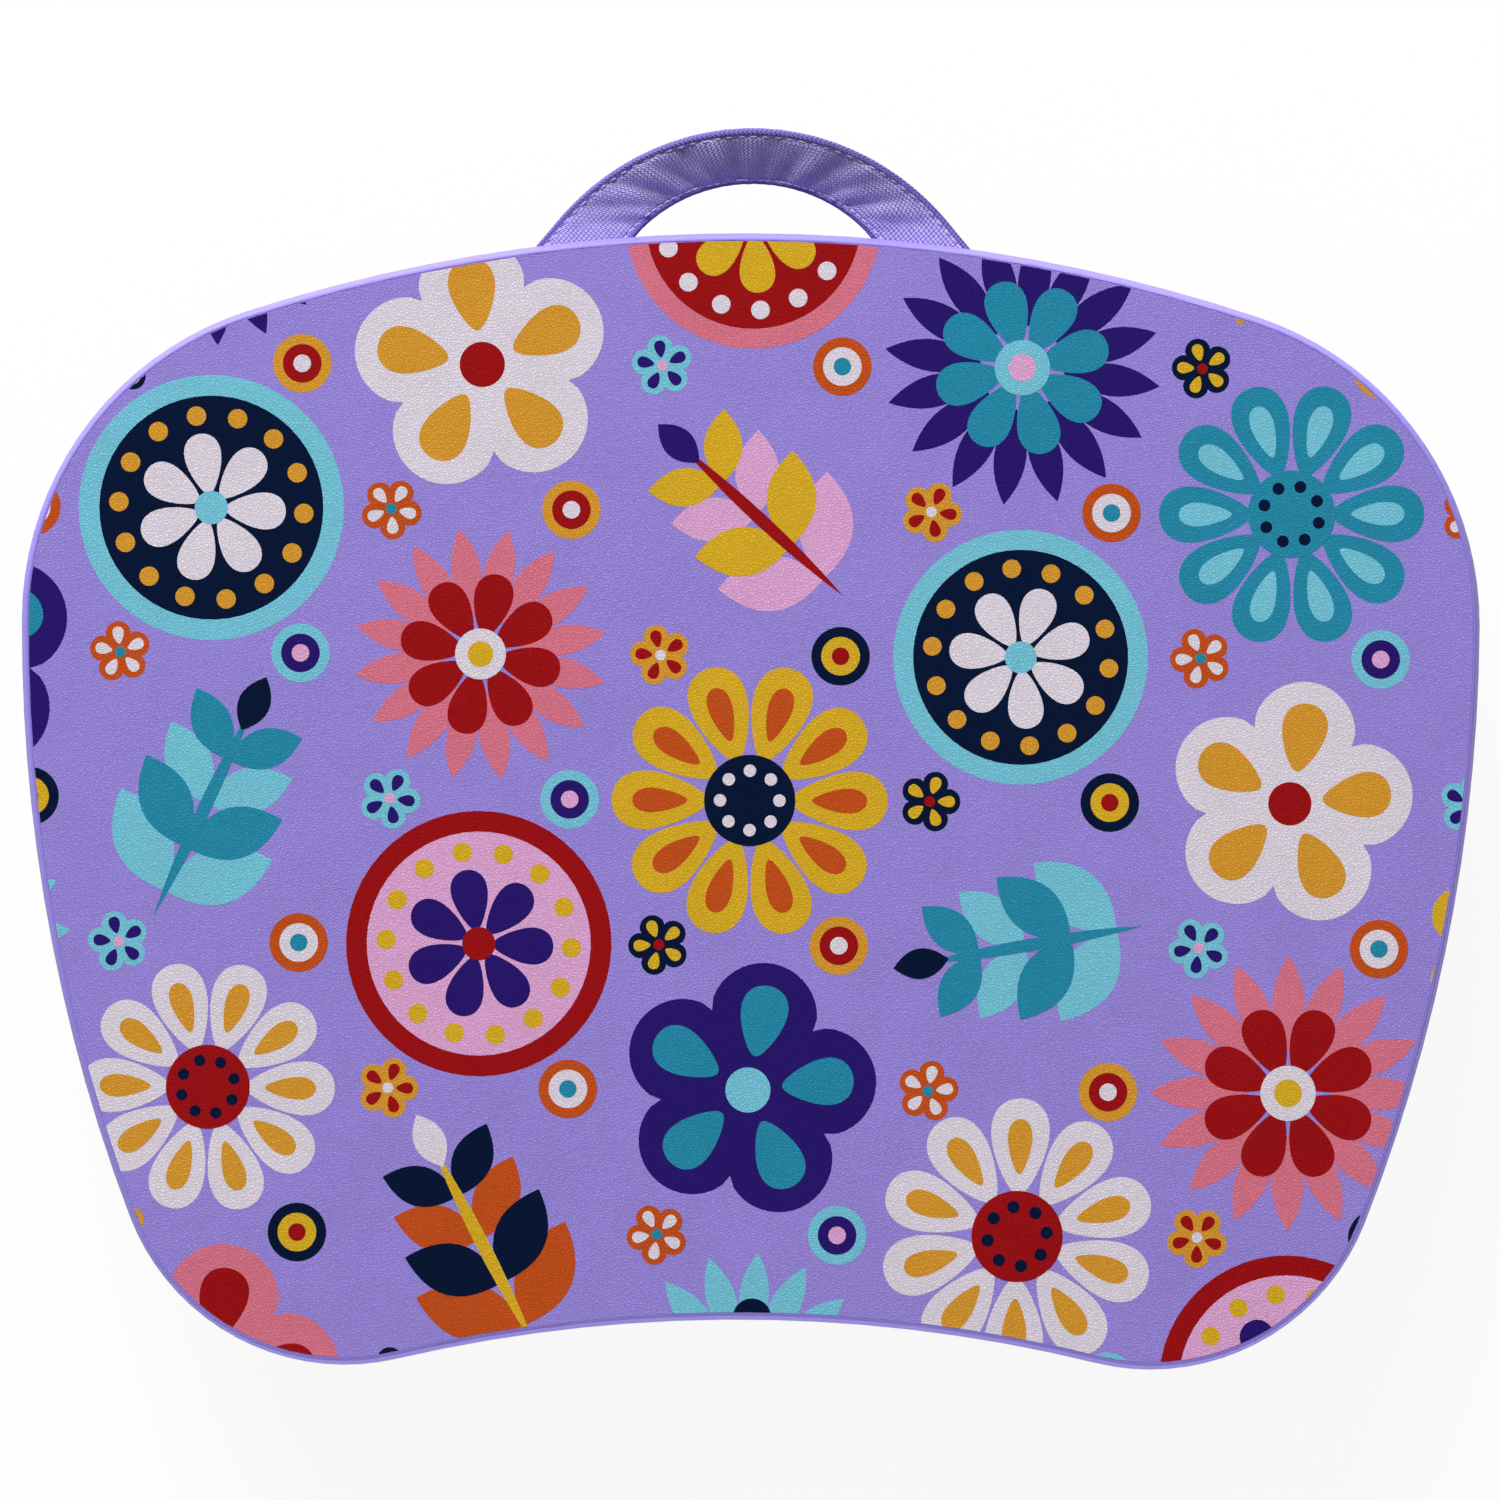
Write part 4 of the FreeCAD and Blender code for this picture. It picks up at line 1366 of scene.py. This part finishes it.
    def build_piping(self, path: Sequence[Vector]) -> Piece:
        """Makes the cloth-covered cord in the seam.

        Args:
            path: Evenly spaced points along the seam.

        Returns:
            The cord.
        """
        count, sides = len(path), self.piping_sides
        gathers = [wave.fitted(count * self.piping_step) for wave in self.piping_gathers]
        offset = self.ease + self.piping_radius - self.piping_sink
        points, faces, laid = [], [], []
        for number, place in enumerate(path):
            run = number * self.piping_step
            here, there = number * sides, (number + 1) % count * sides
            outward = (path[(number + 1) % count] - path[number - 1]).normalized().cross(UP)
            radius = self.piping_radius * (1 + sum(wave.at(run) for wave in gathers))
            for corner in range(sides):
                angle = math.tau * corner / sides
                beside = (corner + 1) % sides
                spoke = outward * math.cos(angle) + UP * math.sin(angle)
                points.append(place + outward * offset + spoke * radius)
                laid.append((run, angle * self.piping_radius))
                faces.append((here + corner, there + corner, there + beside, here + beside))
        mesh = bpy.data.meshes.new(self.side.value + "_piping_cord")
        mesh.from_pydata(points, [], faces)
        layer = mesh.uv_layers.new(name=CLOTH_MAP)
        for loop in mesh.loops:
            layer.data[loop.index].uv = laid[loop.vertex_index]
        piping = placed(mesh.name, mesh)
        with editing(piping):
            bpy.ops.mesh.normals_make_consistent(inside=False)
        coat(piping, Finish.PIPING.material, ROUND_ANGLE)
        return piping

    def build(self) -> None:
        """Makes the bolster and its piping."""
        name = self.side.value
        path = self.seam_path()
        cover = self.build_cover(path)
        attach(cover, TRAY)
        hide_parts(*(f"{name}_bolster_{part}" for part in ("gusset", "panel", "fill")))
        piping = self.build_piping(path)
        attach(piping, TRAY)
        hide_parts(name + "_bolster_piping")
        for piece in (cover, piping):
            log.info("%s: %d faces", piece.name, len(piece.data.polygons))


@dataclass
class CentrePanel:
    """The quilted panel between the bolsters."""

    lobes: int = 4
    seam_thickness: float = 0.0025
    end_taper: float = 0.01
    puff_power: float = 0.62
    gathers: tuple[Wave, ...] = (Wave(0.0106, 0.00028, 1.3), Wave(0.0183, 0.00017, 0.5))
    cells_across: int = 96
    cells_along: int = 190
    stitching: Stitching = Stitching(pitch=0.0034, length=0.0026, thickness=0.0005)

    def depth(self, across: float, along: float, thickness: float, end: float) -> float:
        """The panel's thickness at a place.

        Args:
            across: Place from side to side, from 0 to 1.
            along: Place from front to back, in metres.
            thickness: The fullest thickness.
            end: Distance to the nearer end.

        Returns:
            The thickness there.
        """
        lobe = across * self.lobes
        puff = abs(math.sin(math.pi * lobe)) ** self.puff_power
        gather = sum(wave.at(along, lobe) for wave in self.gathers)
        near_seam = (1 - puff) * puff * 4
        taper = min(1.0, end / self.end_taper)
        puff *= math.sqrt(max(0.0, 1 - (1 - taper) ** 2))
        swell = self.seam_thickness + (thickness - self.seam_thickness) * puff
        return swell + gather * near_seam * taper

    def build(self) -> None:
        """Makes the panel and its rows of stitches."""
        low, high = (Vector(corner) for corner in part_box("centre_panel"))
        size, middle = high - low, (low + high) / 2
        bpy.ops.object.select_all(action="DESELECT")
        bpy.ops.mesh.primitive_grid_add(
            x_subdivisions=self.cells_across, y_subdivisions=self.cells_along, size=1
        )
        panel = bpy.context.object
        panel.name = panel.data.name = "quilted_panel"
        for vertex in panel.data.vertices:
            x, y = vertex.co.x, vertex.co.y * size.y
            depth = self.depth(x + 1 / 2, y, size.z, size.y / 2 - abs(y))
            vertex.co = (middle.x + x * size.x, middle.y + y, high.z - depth)
        with editing(panel):
            bpy.ops.mesh.extrude_region_move(TRANSFORM_OT_translate={"value": (0, 0, 0)})
        for vertex in panel.data.vertices:
            if vertex.select:
                vertex.co.z = high.z
        with editing(panel):
            bpy.ops.mesh.normals_make_consistent(inside=False)
        panel.data.uv_layers.remove(panel.data.uv_layers[0])
        lay_cloth_map(panel)
        coat(panel, Finish.CUSHION.material, SOFT_ANGLE)
        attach(panel, TRAY)
        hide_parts("centre_panel")
        self.build_stitches(low, high)
        log.info("%s: %d faces", panel.name, len(panel.data.polygons))

    def build_stitches(self, low: Vector, high: Vector) -> None:
        """Sews a row of stitches along each seam between two lobes.

        Args:
            low: The panel's lowest corner.
            high: Its highest corner.
        """
        face_down = Matrix(((0, 1, 0), (1, 0, 0), (0, 0, -1))).to_4x4()
        pitch = self.stitching.pitch
        spots = []
        for lobe in range(1, self.lobes):
            x = low.x + (high.x - low.x) * lobe / self.lobes
            for number in range(int((high.y - low.y - 2 * self.end_taper) / pitch)):
                y = low.y + self.end_taper + (number + 1 / 2) * pitch
                spots.append(Matrix.Translation((x, y, high.z - self.seam_thickness)) @ face_down)
        stitches = self.stitching.sew("quilting_stitches", spots)
        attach(stitches, TRAY)


@dataclass(frozen=True)
class Lamp:
    """A soft lamp that faces the foot of the object."""

    name: str
    place: tuple[float, float, float]
    width: float
    height: float
    power: float

    def hang(self) -> None:
        """Hangs the lamp and turns it to the object."""
        light = bpy.data.lights.new(self.name, "AREA")
        light.shape = "RECTANGLE"
        light.size = self.width
        light.size_y = self.height
        light.energy = self.power
        lamp = placed(self.name, light)
        lamp.location = self.place
        lamp.rotation_euler = (-Vector(self.place)).to_track_quat("-Z", "Y").to_euler()
        lamp.visible_camera = False


LAMPS = (
    Lamp("key", place=(-1.9, 5.7, 3.7), width=3.75, height=3.5, power=800.0),
    Lamp("back_strip", place=(0.0, 1.8, 0.3), width=1.6, height=0.3, power=8.0),
    Lamp("front_fill", place=(0.3, -2.2, 0.05), width=1.6, height=0.08, power=24.0),
)


@dataclass
class Studio:
    """A pale floor, soft light and the camera."""

    distance: float = 3.0
    aim_y: float = -0.0005
    aim_z: float = 0.0575
    view_width: float = 0.462
    view_reach: float = 100.0
    sensor_width: float = 36.0
    roll: float = math.radians(0.35)
    floor_light: Colour = linear(248, 248, 249)
    floor_dark: Colour = linear(244, 244, 246)
    floor_cloud: float = 0.4
    floor_glow_share: float = 0.92
    floor_gap: float = 0.0002
    floor_size: float = 8.0
    floor_reach: float = 0.1
    world_strength: float = 0.2
    under_strength: float = 0.8

    def floor_material(self) -> Material:
        """Makes the floor white for the camera, with a share of plain floor that keeps the shadow.

        From below it is clear, and so it is to what stands on it, so that the underside can be looked at.

        Returns:
            The floor's material.
        """
        bench = NodeBench(bpy.data.materials.new("studio_floor"))
        camera, glossy, through, soft = (
            bench.node("ShaderNodeLightPath", output=f"Is {kind} Ray")
            for kind in ("Camera", "Glossy", "Transmission", "Diffuse")
        )
        seen = (camera + glossy + through).clamped()
        glow = bench.node("ShaderNodeEmission", {"Color": WHITE, "Strength": 1.0})
        tone = bench.mix(bench.noise(bench.place(), self.floor_cloud), self.floor_dark, self.floor_light)
        plain = bench.node("ShaderNodeBsdfDiffuse", {"Color": tone})
        mixed = bench.node("ShaderNodeMixShader", {0: seen * self.floor_glow_share, 1: plain, 2: glow})
        below = bench.node("ShaderNodeNewGeometry", output="Backfacing")
        near = (1 - bench.node("ShaderNodeLightPath", output="Ray Length") / self.floor_reach).clamped()
        clear = bench.node("ShaderNodeBsdfTransparent")
        sided = bench.node("ShaderNodeMixShader", {0: (below + soft * near).clamped(), 1: mixed, 2: clear})
        bench.plug(bench.tree.nodes["Material Output"].inputs["Surface"], sided)
        return bench.owner

    def light_world(self) -> None:
        """Sets light from above, as much from below as a white floor gives, and white for the camera."""
        world = bpy.data.worlds.new("studio")
        bpy.context.scene.world = world
        bench = NodeBench(world)
        height = bench.part(bench.node("ShaderNodeTexCoord", output="Generated"), "Z")
        under = 1 - (height / self.floor_gap).clamped()
        light = under * (self.under_strength - self.world_strength) + self.world_strength
        camera = bench.node("ShaderNodeLightPath", output="Is Camera Ray")
        background = bench.tree.nodes["Background"]
        bench.plug(background.inputs["Color"], WHITE)
        bench.plug(background.inputs["Strength"], camera + (1 - camera) * light)

    def build(self) -> None:
        """Lays the floor, hangs the lights and sets the camera."""
        bpy.ops.object.select_all(action="DESELECT")
        bpy.ops.mesh.primitive_plane_add(size=self.floor_size, location=(0, 0, -self.floor_gap))
        floor = bpy.context.object
        floor.name = "studio_floor"
        floor.data.materials.append(self.floor_material())
        self.light_world()
        for lamp in LAMPS:
            lamp.hang()
        camera = bpy.data.cameras.new("camera")
        camera.sensor_width = self.sensor_width
        camera.lens = self.sensor_width * self.distance / self.view_width
        camera.clip_end = self.view_reach
        eye = placed("camera", camera)
        eye.location = (0, self.aim_y, self.aim_z + self.distance)
        eye.rotation_euler = (0, 0, self.roll)
        scene = bpy.context.scene
        scene.camera = eye
        scene.view_settings.view_transform = "Standard"
        log.info("studio: camera %.1f m above the tray", self.distance)


def main() -> None:
    """Builds the pieces in order."""
    logging.basicConfig(level=logging.INFO, format="%(message)s")
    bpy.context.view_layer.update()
    Studio().build()
    PrintedTop().build()
    UnderFrame().build()
    hinge = frame["joints"][0]["pos_m"]
    StrapHandle(fold_y=hinge[1], fold_z=hinge[2]).build()
    for side in Side:
        Bolster(side).build()
    CentrePanel().build()


if __name__ == "__main__":
    main()
